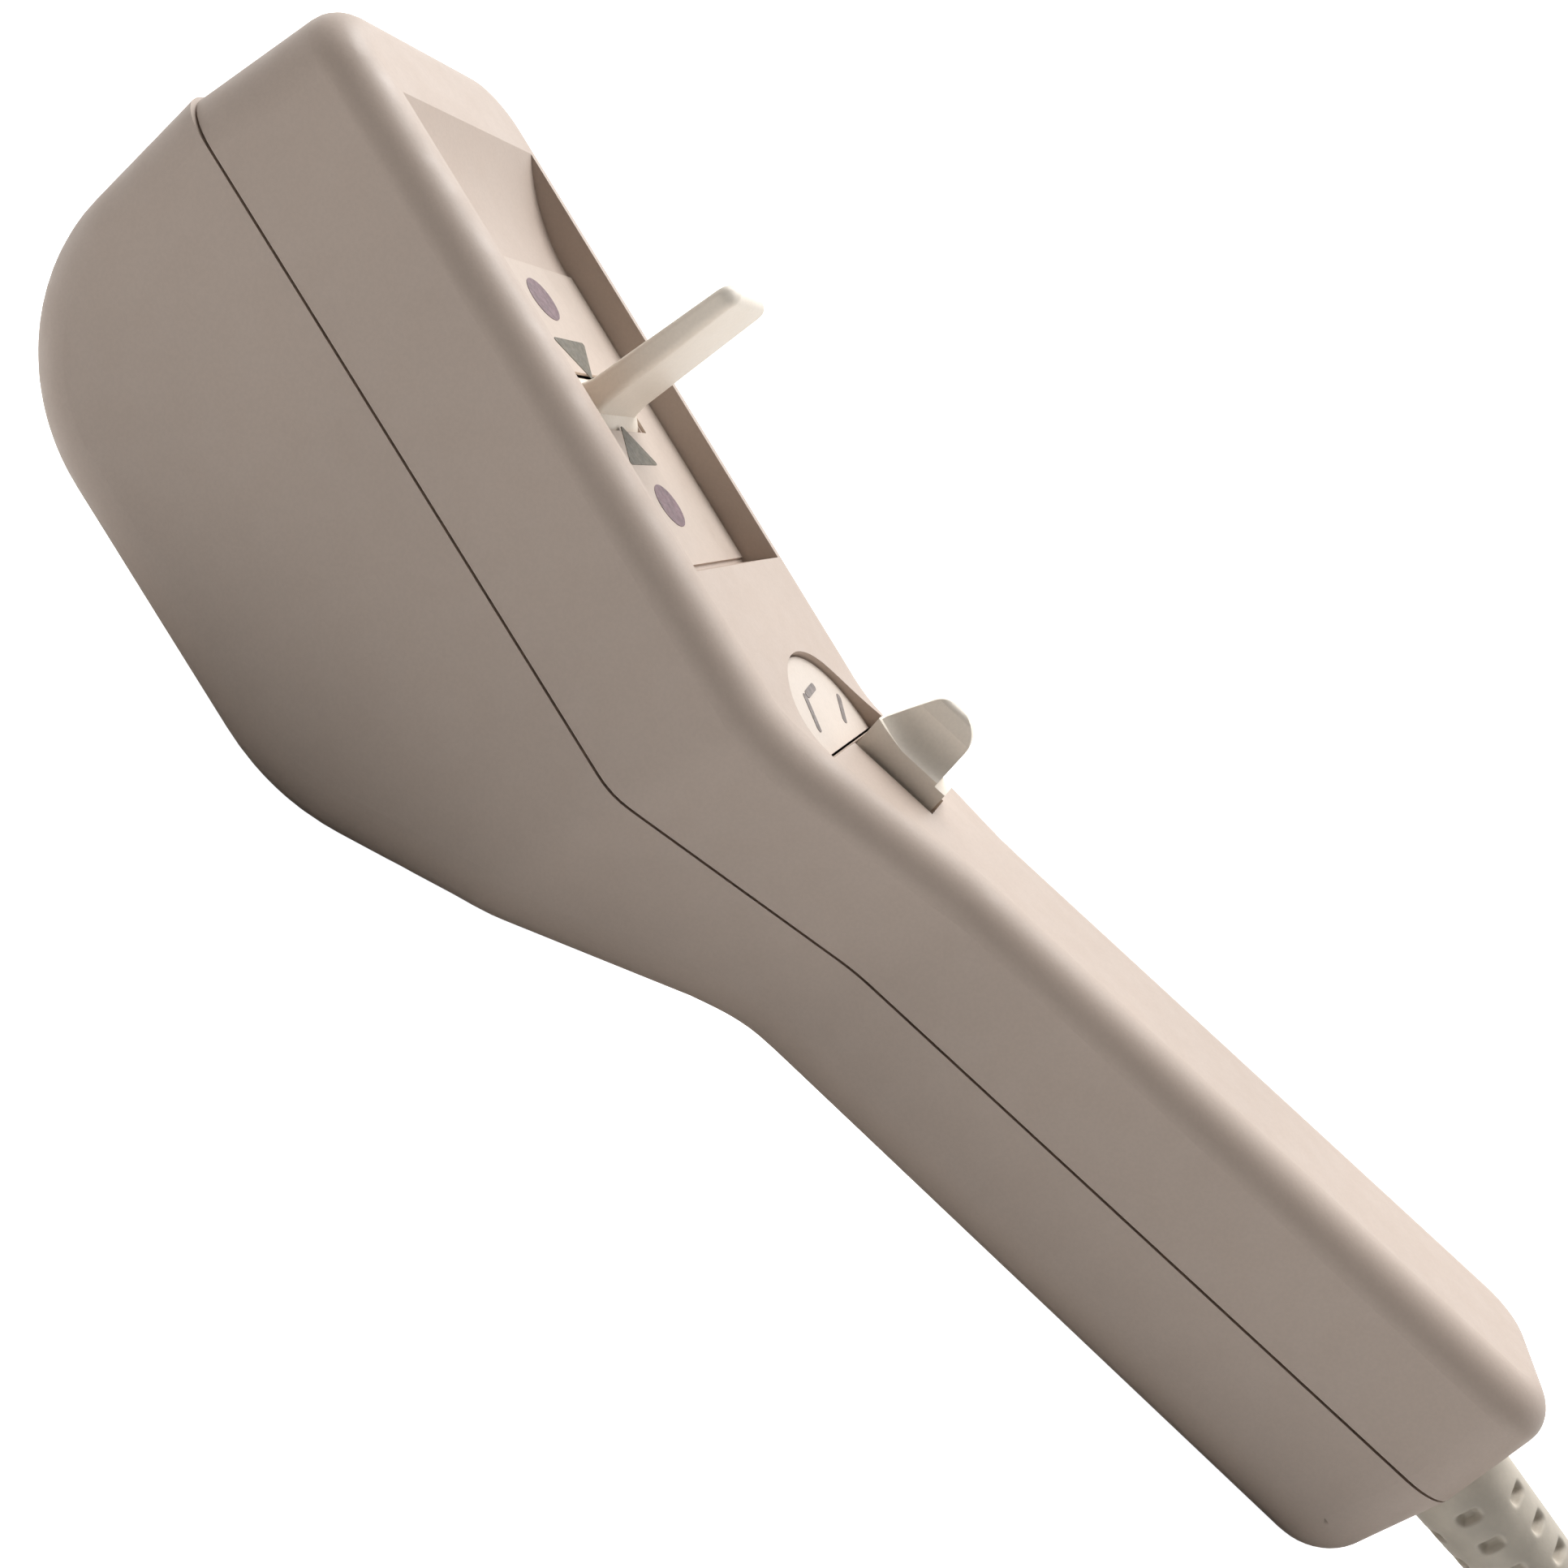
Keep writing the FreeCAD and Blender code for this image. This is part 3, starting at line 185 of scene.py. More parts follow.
# Finishes -----------------------------------------------------------------------------------------
class Finish:
    """A node material under construction: a principled shader and the textures that feed it."""

    def __init__(self, name, **uniform):
        self.material = bpy.data.materials.new(name)
        self.material.use_nodes = True
        self.tree = self.material.node_tree
        self.shader = self.tree.nodes["Principled BSDF"]
        self.place = self.tree.nodes.new("ShaderNodeTexCoord").outputs["Object"]
        for socket, value in uniform.items():
            label = "IOR" if socket == "ior" else socket.replace("_", " ").capitalize()
            self.shader.inputs[label].default_value = value

    def add(self, kind, **inputs):
        """A node of a kind, with sockets given by name as values or as other nodes' outputs."""
        node = self.tree.nodes.new("ShaderNode" + kind)
        for name, value in inputs.items():
            socket = node.inputs[name.replace("_", " ")]
            if isinstance(value, bpy.types.NodeSocket):
                self.tree.links.new(value, socket)
            else:
                socket.default_value = value
        return node

    def noise(self, size, detail=2.0, roughness=0.5, stretch=(1, 1, 1)):
        """Noise whose features are about `size` metres across, drawn out along the axes by stretch."""
        mapping = self.add("Mapping", Vector=self.place, Scale=[1 / part for part in stretch])
        noise = self.add("TexNoise", Vector=mapping.outputs[0], Scale=1 / size, Detail=detail,
                         Roughness=roughness)
        return noise.outputs["Fac"]

    def ramp(self, value, low, high, low_at=0.35, high_at=0.65):
        """A colour or a number that runs from low to high as a texture does between two of its levels."""
        share = self.add("MapRange", Value=value, **{"From Min": low_at, "From Max": high_at}).outputs[0]
        if isinstance(low, (int, float)):
            return self.add("MapRange", Value=share, **{"To Min": low, "To Max": high}).outputs[0]
        mix = self.tree.nodes.new("ShaderNodeMix")
        mix.data_type = "RGBA"
        self.tree.links.new(share, mix.inputs[0])
        mix.inputs[6].default_value, mix.inputs[7].default_value = (*low, 1), (*high, 1)
        return mix.outputs[2]

    def colour(self, output):
        self.tree.links.new(output, self.shader.inputs["Base Color"])
        return self

    def rough(self, output):
        self.tree.links.new(output, self.shader.inputs["Roughness"])
        return self

    def bump(self, *heights):
        """Relief of one or more textures, each with its depth in metres."""
        normal = None
        for texture, depth in heights:
            node = self.add("Bump", Height=texture, Distance=depth, Strength=1.0)
            if normal is not None:
                self.tree.links.new(normal, node.inputs["Normal"])
            normal = node.outputs["Normal"]
        self.tree.links.new(normal, self.shader.inputs["Normal"])
        return self


def linear(colour):
    """A display colour, 0 to 1, as the linear light that shaders work in."""
    return [((part + 0.055) / 1.055) ** 2.4 if part > 0.04045 else part / 12.92 for part in colour[:3]]


def tint(colour, factor):
    """A colour made lighter or darker by a factor."""
    return [min(1.0, part * factor) for part in colour]


def moulded_plastic(name, colour, rough=0.5, grain=0.00032, depth=0.000012, shade=0.93, **uniform):
    """Injection-moulded plastic with a spark-eroded grain, faint flow tone and uneven gloss."""
    finish = Finish(name, **uniform)
    tone = finish.noise(0.05, 3.0)
    speck = finish.noise(grain * 1.4, 1.0)
    base = finish.ramp(tone, tint(colour, shade), tint(colour, 1.02), 0.3, 0.7)
    mixed = finish.tree.nodes.new("ShaderNodeMix")
    mixed.data_type, mixed.blend_type = "RGBA", "MULTIPLY"
    mixed.inputs[0].default_value = 1.0
    finish.tree.links.new(base, mixed.inputs[6])
    finish.tree.links.new(finish.ramp(speck, [0.965] * 3, [1.0] * 3), mixed.inputs[7])
    finish.colour(mixed.outputs[2])
    finish.rough(finish.ramp(finish.noise(0.004, 3.0), rough - 0.05, rough + 0.06))
    finish.bump((finish.noise(0.012, 2.0), depth * 1.2), (finish.noise(grain, 2.0, 0.6), depth))
    return finish.material


def metal(name, colour, rough=0.3, stretch=(1, 1, 1), depth=0.000004, grain=0.0006):
    """Metal with drawing or rolling marks, spots of duller tone and a fine relief."""
    finish = Finish(name, metallic=1.0)
    streak = finish.noise(grain, 3.0, 0.6, stretch)
    finish.colour(finish.ramp(finish.noise(0.006, 4.0), tint(colour, 0.78), colour))
    finish.rough(finish.ramp(streak, rough - 0.08, rough + 0.12))
    return finish.bump((streak, depth)).material


def rubber(name, colour, rough=0.62):
    """Soft moulded rubber: matt, slightly dusty, with a fine pebble."""
    finish = Finish(name)
    dust = finish.noise(0.006, 4.0, 0.6)
    finish.colour(finish.ramp(dust, tint(colour, 0.86), tint(colour, 1.06)))
    finish.rough(finish.ramp(dust, rough - 0.06, rough + 0.1))
    return finish.bump((finish.noise(0.00045, 2.0), 0.000018)).material


def printed_ink(name, colour):
    """Screen-printed ink: a thin, slightly uneven coat with pinholes of the tone under it."""
    finish = Finish(name)
    finish.colour(finish.ramp(finish.noise(0.0011, 4.0, 0.65), tint(colour, 0.8), tint(colour, 1.25)))
    finish.rough(finish.ramp(finish.noise(0.0006), 0.42, 0.6))
    return finish.bump((finish.noise(0.0002), 0.000008)).material


def circuit_laminate(name, colour):
    """Solder mask over copper: broad tone, and straight raised tracks from a fine brick pattern."""
    finish = Finish(name)
    mapping = finish.add("Mapping", Vector=finish.place, Rotation=(0.0, -0.3968, 0.0))
    tracks = finish.add("TexBrick", Vector=mapping.outputs[0], Scale=260.0, Mortar_Size=0.012)
    tracks.inputs["Color1"].default_value = tracks.inputs["Color2"].default_value = (0.3, 0.3, 0.3, 1)
    tracks.inputs["Mortar"].default_value = (1, 1, 1, 1)
    finish.colour(finish.ramp(tracks.outputs["Color"], colour, tint(colour, 1.7), 0.3, 1.0))
    finish.rough(finish.ramp(finish.noise(0.002, 3.0), 0.26, 0.42))
    return finish.bump((tracks.outputs["Color"], 0.00002)).material


def cord_jacket(name, colour):
    """Extruded cord jacket: matt, with a faint draw along its length and the odd scuff."""
    finish = Finish(name)
    finish.colour(finish.ramp(finish.noise(0.02, 4.0, 0.6), tint(colour, 0.86), tint(colour, 1.05)))
    finish.rough(finish.ramp(finish.noise(0.003, 3.0), 0.42, 0.6))
    return finish.bump((finish.noise(0.0014, 3.0), 0.000022), (finish.noise(0.0003), 0.00001)).material


# Sizes and colours a user may change ------------------------------------------------------------------
def length(name, about, value):
    """A length property in metres."""
    return bpy.props.FloatProperty(name=name, description=about, default=value, min=0.00001, max=0.5,
                                   unit="LENGTH", precision=5)


def paint(name, about, value):
    """A colour property, as a display shows it."""
    return bpy.props.FloatVectorProperty(name=name, description=about, default=value, min=0.0, max=1.0,
                                         size=3, subtype="COLOR_GAMMA")


class HandControlSizes(bpy.types.PropertyGroup):
    """Sizes of the pieces that are made here."""
    relief_length: length("Relief length", "Length of the relief from the handle's end to its tip", 0.038)
    relief_root: length("Relief root", "Radius of the strain relief where it leaves the handle", 0.00695)
    relief_tip: length("Relief tip", "Radius of the strain relief at its tip", 0.0048)
    pit_pitch: length("Pit spacing", "Distance between rings of pits along a strain relief", 0.0022)
    pit_length: length("Pit length", "Length of a pit around a strain relief", 0.0028)
    pit_width: length("Pit width", "Width of a pit along a strain relief", 0.0014)
    pit_depth: length("Pit depth", "Depth of a pit", 0.0012)
    grip_radius: length("Grip radius", "Largest radius of the plug's grip", 0.0085)
    flute_depth: length("Flute depth", "Depth of the grip's finger flutes", 0.0006)
    flutes: bpy.props.IntProperty(name="Flutes", description="Number of flutes round the plug's grip",
                                  default=16, min=3, max=48)
    cord_diameter: length("Cord diameter", "Diameter of the cord's jacket", 0.007)
    dot_radius: length("Dot radius", "Radius of the printed dots", 0.0031)
    dot_place: length("Dot distance", "Distance of each printed dot from the paddle", 0.0152)
    triangle_near: length("Triangle apex", "Distance of each triangle's apex from the paddle", 0.0034)
    triangle_far: length("Triangle base", "Distance of each triangle's base from the paddle", 0.0092)
    triangle_half: length("Triangle half width", "Half the width of a triangle's base", 0.0047)
    blade_edge: length("Blade edge", "Rounding of the paddle's upright edges", 0.0009)
    tie_width: length("Tie width", "Width of the ties round the hank", 0.006)
    tie_thickness: length("Tie thickness", "Thickness of the ties round the hank", 0.0006)
    ink_thickness: length("Ink thickness", "How far printed ink stands proud", 0.00006)


class HandControlColours(bpy.types.PropertyGroup):
    """Display colours of the visible materials."""
    shell: paint("Housing", "Moulded housing", (0.748, 0.680, 0.630))
    control: paint("Controls", "Paddle and thumb rocker", (0.955, 0.915, 0.86))
    label: paint("Label", "Label insert in the recess", (0.775, 0.712, 0.662))
    dial: paint("Dial", "Round plate by the rocker", (0.84, 0.79, 0.745))
    triangle: paint("Triangles", "Ink of the two triangles", (0.37, 0.345, 0.29))
    dot: paint("Dots", "Ink of the two dots", (0.44, 0.345, 0.37))
    sign: paint("Sign", "Ink of the strokes on the dial", (0.47, 0.43, 0.415))
    relief: paint("Strain relief", "Rubber of the strain reliefs", (0.78, 0.745, 0.69))
    jacket: paint("Cord", "Jacket of the cord", (0.68, 0.65, 0.60))


# Pieces -----------------------------------------------------------------------------------------------
def pitted(along, around, taper, first, last, sizes):
    """Radius of a strain relief: its taper less staggered oblong pits.

    Rings of three pits stand a pitch apart from `first` to `last`, every other ring turned by 60 degrees.
    A pit's depth is full inside a squared-off oval and falls away smoothly at its edge.
    """
    angle = np.arange(around) * 2 * math.pi / around
    ring = np.round((along - first) / sizes.pit_pitch)
    off = along - first - ring * sizes.pit_pitch
    third = 2 * math.pi / 3
    swing = (angle[None, :] - (ring[:, None] % 2) * math.pi / 3 + third / 2) % third - third / 2
    reach = ((swing * taper[:, None] / (sizes.pit_length / 2)) ** 4
             + (off[:, None] / (sizes.pit_width / 2)) ** 4)
    inside = (along >= first - sizes.pit_pitch / 2) & (along <= last + sizes.pit_pitch / 2)
    return taper[:, None] - sizes.pit_depth * np.exp(-reach ** 1.5) * inside[:, None]


def place_curve(name, points, radius, resolution):
    """An open smooth curve of control points, with a round section."""
    curve = bpy.data.curves.new(name, "CURVE")
    curve.dimensions = "3D"
    curve.bevel_depth = radius
    curve.bevel_resolution = 6
    curve.resolution_u = resolution
    curve.use_fill_caps = True
    spline = curve.splines.new("NURBS")
    spline.points.add(len(points) - 1)
    spline.points.foreach_set("co", np.column_stack([points, np.ones(len(points))]).ravel())
    spline.order_u = 3
    spline.use_endpoint_u = True
    piece = bpy.data.objects.new(name, curve)
    bpy.context.scene.collection.objects.link(piece)
    return piece


def hank_point(turned):
    """Where the hank's line is after a number of turns.

    A turn runs +X, half a circle to the left, -X, and half a circle back. Its radius and height ease from
    one lay to the next over that turn's crossing, as a cosine ramp.
    """
    radius, height = HANK_LAYS[0]
    for turn, (start, finish) in enumerate(HANK_CROSSINGS):
        share = min(1.0, max(0.0, (turned - turn - start) / (finish - start)))
        ease = (1 - math.cos(math.pi * share)) / 2
        radius += (HANK_LAYS[turn + 1][0] - HANK_LAYS[turn][0]) * ease
        height += (HANK_LAYS[turn + 1][1] - HANK_LAYS[turn][1]) * ease
    run_share = HANK_RUN / (2 * HANK_RUN + 2 * math.pi * HANK_LAYS[0][0])
    place = turned % 1.0
    x, y = HANK_START
    if place < run_share:
        return x + HANK_RUN * place / run_share, y - radius, height
    if place < 0.5:
        angle = math.pi * (place - run_share) / (0.5 - run_share) - math.pi / 2
        return x + HANK_RUN + radius * math.cos(angle), y + radius * math.sin(angle), height
    if place < 0.5 + run_share:
        return x + HANK_RUN * (1 - (place - 0.5) / run_share), y + radius, height
    angle = math.pi * (place - 0.5 - run_share) / (0.5 - run_share) + math.pi / 2
    return x + radius * math.cos(angle), y + radius * math.sin(angle), height


def hank_points(per_turn=26):
    """Control points of the hank's four turns, as even shares of a turn."""
    return [hank_point(index / per_turn) for index in range(1, 4 * per_turn + 1)]


class HANDCONTROL_OT_cord(bpy.types.Operator):
    """Lay the cord from the strain relief through its hank to the plug"""
    bl_idname = "handcontrol.cord"
    bl_label = "Lay cord"

    def execute(self, context):
        sizes, colours = context.scene.hand_control_sizes, context.scene.hand_control_colours
        route = CORD_LEAD + hank_points() + CORD_TAIL
        cord = place_curve("cord", route, sizes.cord_diameter / 2, 6)
        cord.data.materials.append(cord_jacket("cord_jacket", linear(colours.jacket)))
        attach(cord, "housing")
        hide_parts("cord_lead", "cord_hank", "cord_tail")
        return {"FINISHED"}


class HANDCONTROL_OT_reliefs(bpy.types.Operator):
    """Make the two pitted strain reliefs, at the handle's end and behind the plug"""
    bl_idname = "handcontrol.reliefs"
    bl_label = "Make strain reliefs"

    def execute(self, context):
        sizes, colours = context.scene.hand_control_sizes, context.scene.hand_control_colours
        finish = rubber("relief_rubber", linear(colours.relief))
        long, around = sizes.relief_length, 168
        along = np.concatenate([np.linspace(-0.003, long - 0.0008, 190), [long - 0.0003, long, long]])
        taper = np.interp(along, [0, long], [sizes.relief_root, sizes.relief_tip])
        radius = pitted(along, around, taper, 0.0024, long - 0.0036, sizes)
        radius[-3:] = (np.array([sizes.relief_tip - 0.0002, sizes.relief_tip - 0.0006, 0.0036]))[:, None]
        boot = add_turned("strain_boot", along, radius, RELIEF_ROOT, RELIEF_WAY)
        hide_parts("strain_relief")

        low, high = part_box("plug_relief")
        axis_y, axis_z = (low[1] + high[1]) / 2, (low[2] + high[2]) / 2
        long = high[0] - low[0]
        along = np.concatenate([[0, 0, 0.0003], np.linspace(0.0008, long, 100)])
        taper = np.interp(along, [0, long], [0.0050, 0.0064])
        radius = pitted(along, around, taper, 0.0030, long - 0.0020, sizes)
        radius[:3] = (np.array([0.0036, 0.0045, 0.0049]))[:, None]
        plug_boot = add_turned("plug_boot", along, radius, (low[0], axis_y, axis_z), (1, 0, 0))
        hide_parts("plug_relief")
        for piece in (boot, plug_boot):
            piece.data.materials.append(finish)
        return {"FINISHED"}


class HANDCONTROL_OT_plug(bpy.types.Operator):
    """Make the plug's fluted grip"""
    bl_idname = "handcontrol.plug"
    bl_label = "Make plug grip"

    def execute(self, context):
        sizes, colours = context.scene.hand_control_sizes, context.scene.hand_control_colours
        low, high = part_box("plug_cover")
        axis_y, axis_z = (low[1] + high[1]) / 2, (low[2] + high[2]) / 2
        long, around = high[0] - low[0], 16 * sizes.flutes
        along = np.concatenate([[0, 0.0002, 0.0007], np.linspace(0.0015, long - 0.0015, 60),
                                [long - 0.0007, long - 0.0002, long]])
        edge = np.minimum(along, long - along)
        shoulder = sizes.grip_radius - 0.0012 * np.clip(1 - edge / 0.0015, 0, 1) ** 2
        waist = 0.0007 * np.exp(-((along - long * 0.42) / 0.006) ** 2)
        angle = np.arange(around) * 2 * math.pi / around
        flute = (0.5 - 0.5 * np.cos(angle * sizes.flutes)) ** 2
        length_share = np.clip((edge - 0.0028) / 0.0016, 0, 1)
        length_share = length_share ** 2 * (3 - 2 * length_share)
        radius = (shoulder - waist)[:, None] - sizes.flute_depth * flute[None, :] * length_share[:, None]
        grip = add_turned("plug_grip", along, radius, (low[0], axis_y, axis_z), (1, 0, 0))
        grip.data.materials.append(rubber("grip_rubber", linear(colours.relief), 0.55))
        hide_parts("plug_cover")
        return {"FINISHED"}


def add_band(name, x, middle, half, width, thick):
    """A closed band round a bundle that runs along X: a rounded rectangle of the YZ plane, carried as a flat
    ribbon's four corners, inner and outer, at either side of x."""
    corner = 0.0025
    inner = np.array([(-1, -1), (1, -1), (1, 1), (-1, 1)]) * (half[0] - corner, half[1] - corner) + middle
    outlines = [round_outline(inner, corner + extra) for extra in (0.0, thick, thick, 0.0)]
    sides = (x - width / 2, x - width / 2, x + width / 2, x + width / 2)
    count = len(outlines[0])
    loops = [np.column_stack([np.full(count, side), outline]) for side, outline in zip(sides, outlines)]
    points = np.stack(loops, 1).reshape(-1, 3)
    step, around = np.meshgrid(np.arange(count), np.arange(4), indexing="ij")
    ahead, after = (step + 1) % count, (around + 1) % 4
    faces = np.stack([step * 4 + around, step * 4 + after, ahead * 4 + after, ahead * 4 + around], -1)
    piece = add_piece(name, points, faces.reshape(-1, 4).tolist(), smooth=False)
    outwards(piece)
    return piece


class HANDCONTROL_OT_ties(bpy.types.Operator):
    """Put a soft tie round each run of the hank"""
    bl_idname = "handcontrol.ties"
    bl_label = "Tie hank"

    def execute(self, context):
        sizes = context.scene.hand_control_sizes
        finish = rubber("tie_band", (0.03, 0.03, 0.032), 0.6)
        thick = sizes.tie_thickness
        middle = 3 * sizes.cord_diameter / 2
        for name, x, side in (("hank_tie_near", 0.222, -1), ("hank_tie_far", 0.241, 1)):
            centre = (HANK_START[1] + side * TIE_SPREAD, middle + thick / 2)
            band = add_band(name, x, centre, (TIE_HALF_WIDE, middle - thick / 2), sizes.tie_width, thick)
            band.data.materials.append(finish)
        return {"FINISHED"}


def head_way(x, y, z):
    """A direction of the head frame in the row frame."""
    return x * HEAD_COS + z * HEAD_SIN, y, z * HEAD_COS - x * HEAD_SIN


def add_blade(name, levels, half_thick, half_wide, corner, body):
    """The paddle's blade: at each level a rectangle with round corners, its thickness, width and corner given
    for that level; flat caps close both ends."""
    corner_angle = np.linspace(0, math.pi / 2, 9)
    spokes = np.stack([np.cos(corner_angle), np.sin(corner_angle)], -1)
    quarter = [spokes, spokes[::-1] * (-1, 1), spokes * (-1, -1), spokes[::-1] * (1, -1)]
    signs = [(1, 1), (-1, 1), (-1, -1), (1, -1)]
    size = np.stack([half_thick, half_wide], -1)
    rings = np.concatenate([(size - corner[:, None])[:, None] * sign + corner[:, None, None] * part[None]
                            for sign, part in zip(signs, quarter)], axis=1)
    around = rings.shape[1]
    points = np.concatenate([rings, np.broadcast_to(levels[:, None, None], rings.shape[:2] + (1,))], -1)
    points = points.reshape(-1, 3) + (PADDLE_X, 0, 0)
    faces = turned_faces(len(levels), around)
    faces.append(list(range(around - 1, -1, -1)))
    faces.append(list(range(len(points) - around, len(points))))
    piece = add_piece(name, head_to_row(points), faces, body)
    outwards(piece)
    return piece


class HANDCONTROL_OT_paddle(bpy.types.Operator):
    """Make the paddle: its soft-edged blade, its hub and necks, and its tail with the spring pin"""
    bl_idname = "handcontrol.paddle"
    bl_label = "Make paddle"

    def execute(self, context):
        sizes, colours = context.scene.hand_control_sizes, context.scene.hand_control_colours
        finish = moulded_plastic("paddle_plastic", linear(colours.control), 0.42, depth=0.000007)
        round_top = BLADE_TOP - TOP_ROUND
        levels = np.concatenate([np.linspace(PIVOT_LEVEL, round_top, 30),
                                 BLADE_TOP - TOP_ROUND * (1 - np.sin(np.linspace(0.08, math.pi / 2, 14)))])
        thick = np.interp(levels, [PIVOT_LEVEL, BLADE_TOP], [BLADE_ROOT_HALF, BLADE_TIP_HALF])
        near_top = np.clip((levels - round_top) / TOP_ROUND, 0, 1)
        tip = np.clip((levels - (BLADE_TOP - TIP_ROUND)) / TIP_ROUND, 0, 1)
        thick = thick - 1.0 * (1 - np.sqrt(1 - (0.998 * tip) ** 2))
        wide = BLADE_HALF_WIDE - TOP_ROUND * (1 - np.sqrt(1 - (0.995 * near_top) ** 2))
        corner = np.minimum(sizes.blade_edge * MM, thick * 0.85)
        flare = 0.45 * np.clip((RECESS_FLOOR + 3.0 - levels) / 2.4, 0, 1) ** 2
        blade = add_blade("paddle_blade", levels, thick + flare, wide, corner, "paddle")
        axis = head_way(0, 1, 0)
        root, tail_root = head_to_row([(PADDLE_X, 0, PIVOT_LEVEL), (PADDLE_X, 0, PIVOT_LEVEL - 9)])
        places = np.array([-11.2, -11.0, -7.0, -6.95, -6.6, 6.6, 6.95, 7.0, 10.1, 10.3]) / MM
        radii = np.array([2.3, 2.5, 2.5, 5.65, 6.0, 6.0, 5.65, 2.5, 2.5, 2.3]) / MM
        hub = add_turned("paddle_hub", places, np.repeat(radii[:, None], 96, 1), root, axis, "paddle")
        places, radii = np.array([[-10.8, -10.6, -3.0, -2.8], [2.7, 2.9, 2.9, 2.7]]) / MM
        pin = add_turned("paddle_pin", places, np.repeat(radii[:, None], 48, 1), tail_root, axis, "paddle")
        levels = np.linspace(PIVOT_LEVEL - 12, PIVOT_LEVEL - 3, 8)
        tail = add_blade("paddle_tail", levels, np.full(8, 2.9), np.full(8, 2.0), np.full(8, 0.4), "paddle")
        tail.data.transform(Matrix.Translation((0, -0.005, 0)))
        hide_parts("paddle")
        for piece in (blade, hub, pin, tail):
            piece.data.materials.append(finish)
        return {"FINISHED"}


class HANDCONTROL_OT_label_marks(bpy.types.Operator):
    """Print the two triangles and two dots on the label insert"""
    bl_idname = "handcontrol.label_marks"
    bl_label = "Print label marks"

    def execute(self, context):
        sizes, colours = context.scene.hand_control_sizes, context.scene.hand_control_colours
        round_r = 0.35
        near, far = sizes.triangle_near * MM + 1.3 * round_r, sizes.triangle_far * MM - round_r
        half = sizes.triangle_half * MM - 1.4 * round_r
        triangle = np.array([(near, 0), (far, -half), (far, half)])
        low, high = LABEL_TOP - INK_SUNK, LABEL_TOP + sizes.ink_thickness * MM
        triangles = [round_outline(triangle * side + (PADDLE_X, 0), round_r) for side in (1, -1)]
        dots = [round_outline([(PADDLE_X + side * sizes.dot_place * MM, 0)], sizes.dot_radius * MM)
                for side in (-1, 1)]
        for name, outlines, colour in (("label_triangles", triangles, colours.triangle),
                                       ("label_dots", dots, colours.dot)):
            piece = add_pads(name, outlines, low, high)
            piece.data.materials.append(printed_ink(name + "_ink", linear(colour)))
        return {"FINISHED"}


class HANDCONTROL_OT_dial_sign(bpy.types.Operator):
    """Print the plain strokes on the round plate by the thumb rocker"""
    bl_idname = "handcontrol.dial_sign"
    bl_label = "Print dial strokes"

    def execute(self, context):
        sizes, colours = context.scene.hand_control_sizes, context.scene.hand_control_colours
        outlines = [round_outline(stroke, STROKE_HALF) for stroke in DIAL_STROKES]
        piece = add_pads("dial_sign", outlines, DIAL_TOP - INK_SUNK, DIAL_TOP + sizes.ink_thickness * MM)
        piece.data.materials.append(printed_ink("dial_ink", linear(colours.sign)))
        return {"FINISHED"}


FINISHES = {
    "housing_plastic": ["upper_shell", "lower_shell"],
    "control_plastic": ["thumb_rocker"],
    "label_plastic": ["label_plate"],
    "dial_plastic": ["dial_plate"],
    "nylon": ["sector_gear", "sensor_gear", "cord_clamp", "switch_slider"],
    "bright_steel": ["paddle_shaft", "shaft_clips", "rocker_pin", "sensor_shaft", "case_screws",
                     "clamp_screws", "board_screws", "bracket_screws", "frame_screws"],
    "zinc_plate": ["control_frame", "rocker_bracket"],
    "spring_wire": ["paddle_spring", "rocker_spring"],
    "sensor_blue": ["sensor_body"],
    "tinned": ["sensor_terminals", "switch_terminals"],
    "switch_black": ["switch_case"],
    "laminate": ["circuit_board"],
    "header_white": ["board_header"],
    "component_black": ["board_components"],
    "inner_jacket": ["inner_cord"],
    "lead_red": ["cord_leads", "switch_leads"],
    "plug_nickel": ["plug_shell", "plug_pins"],
    "insert_black": ["plug_insert"],
}


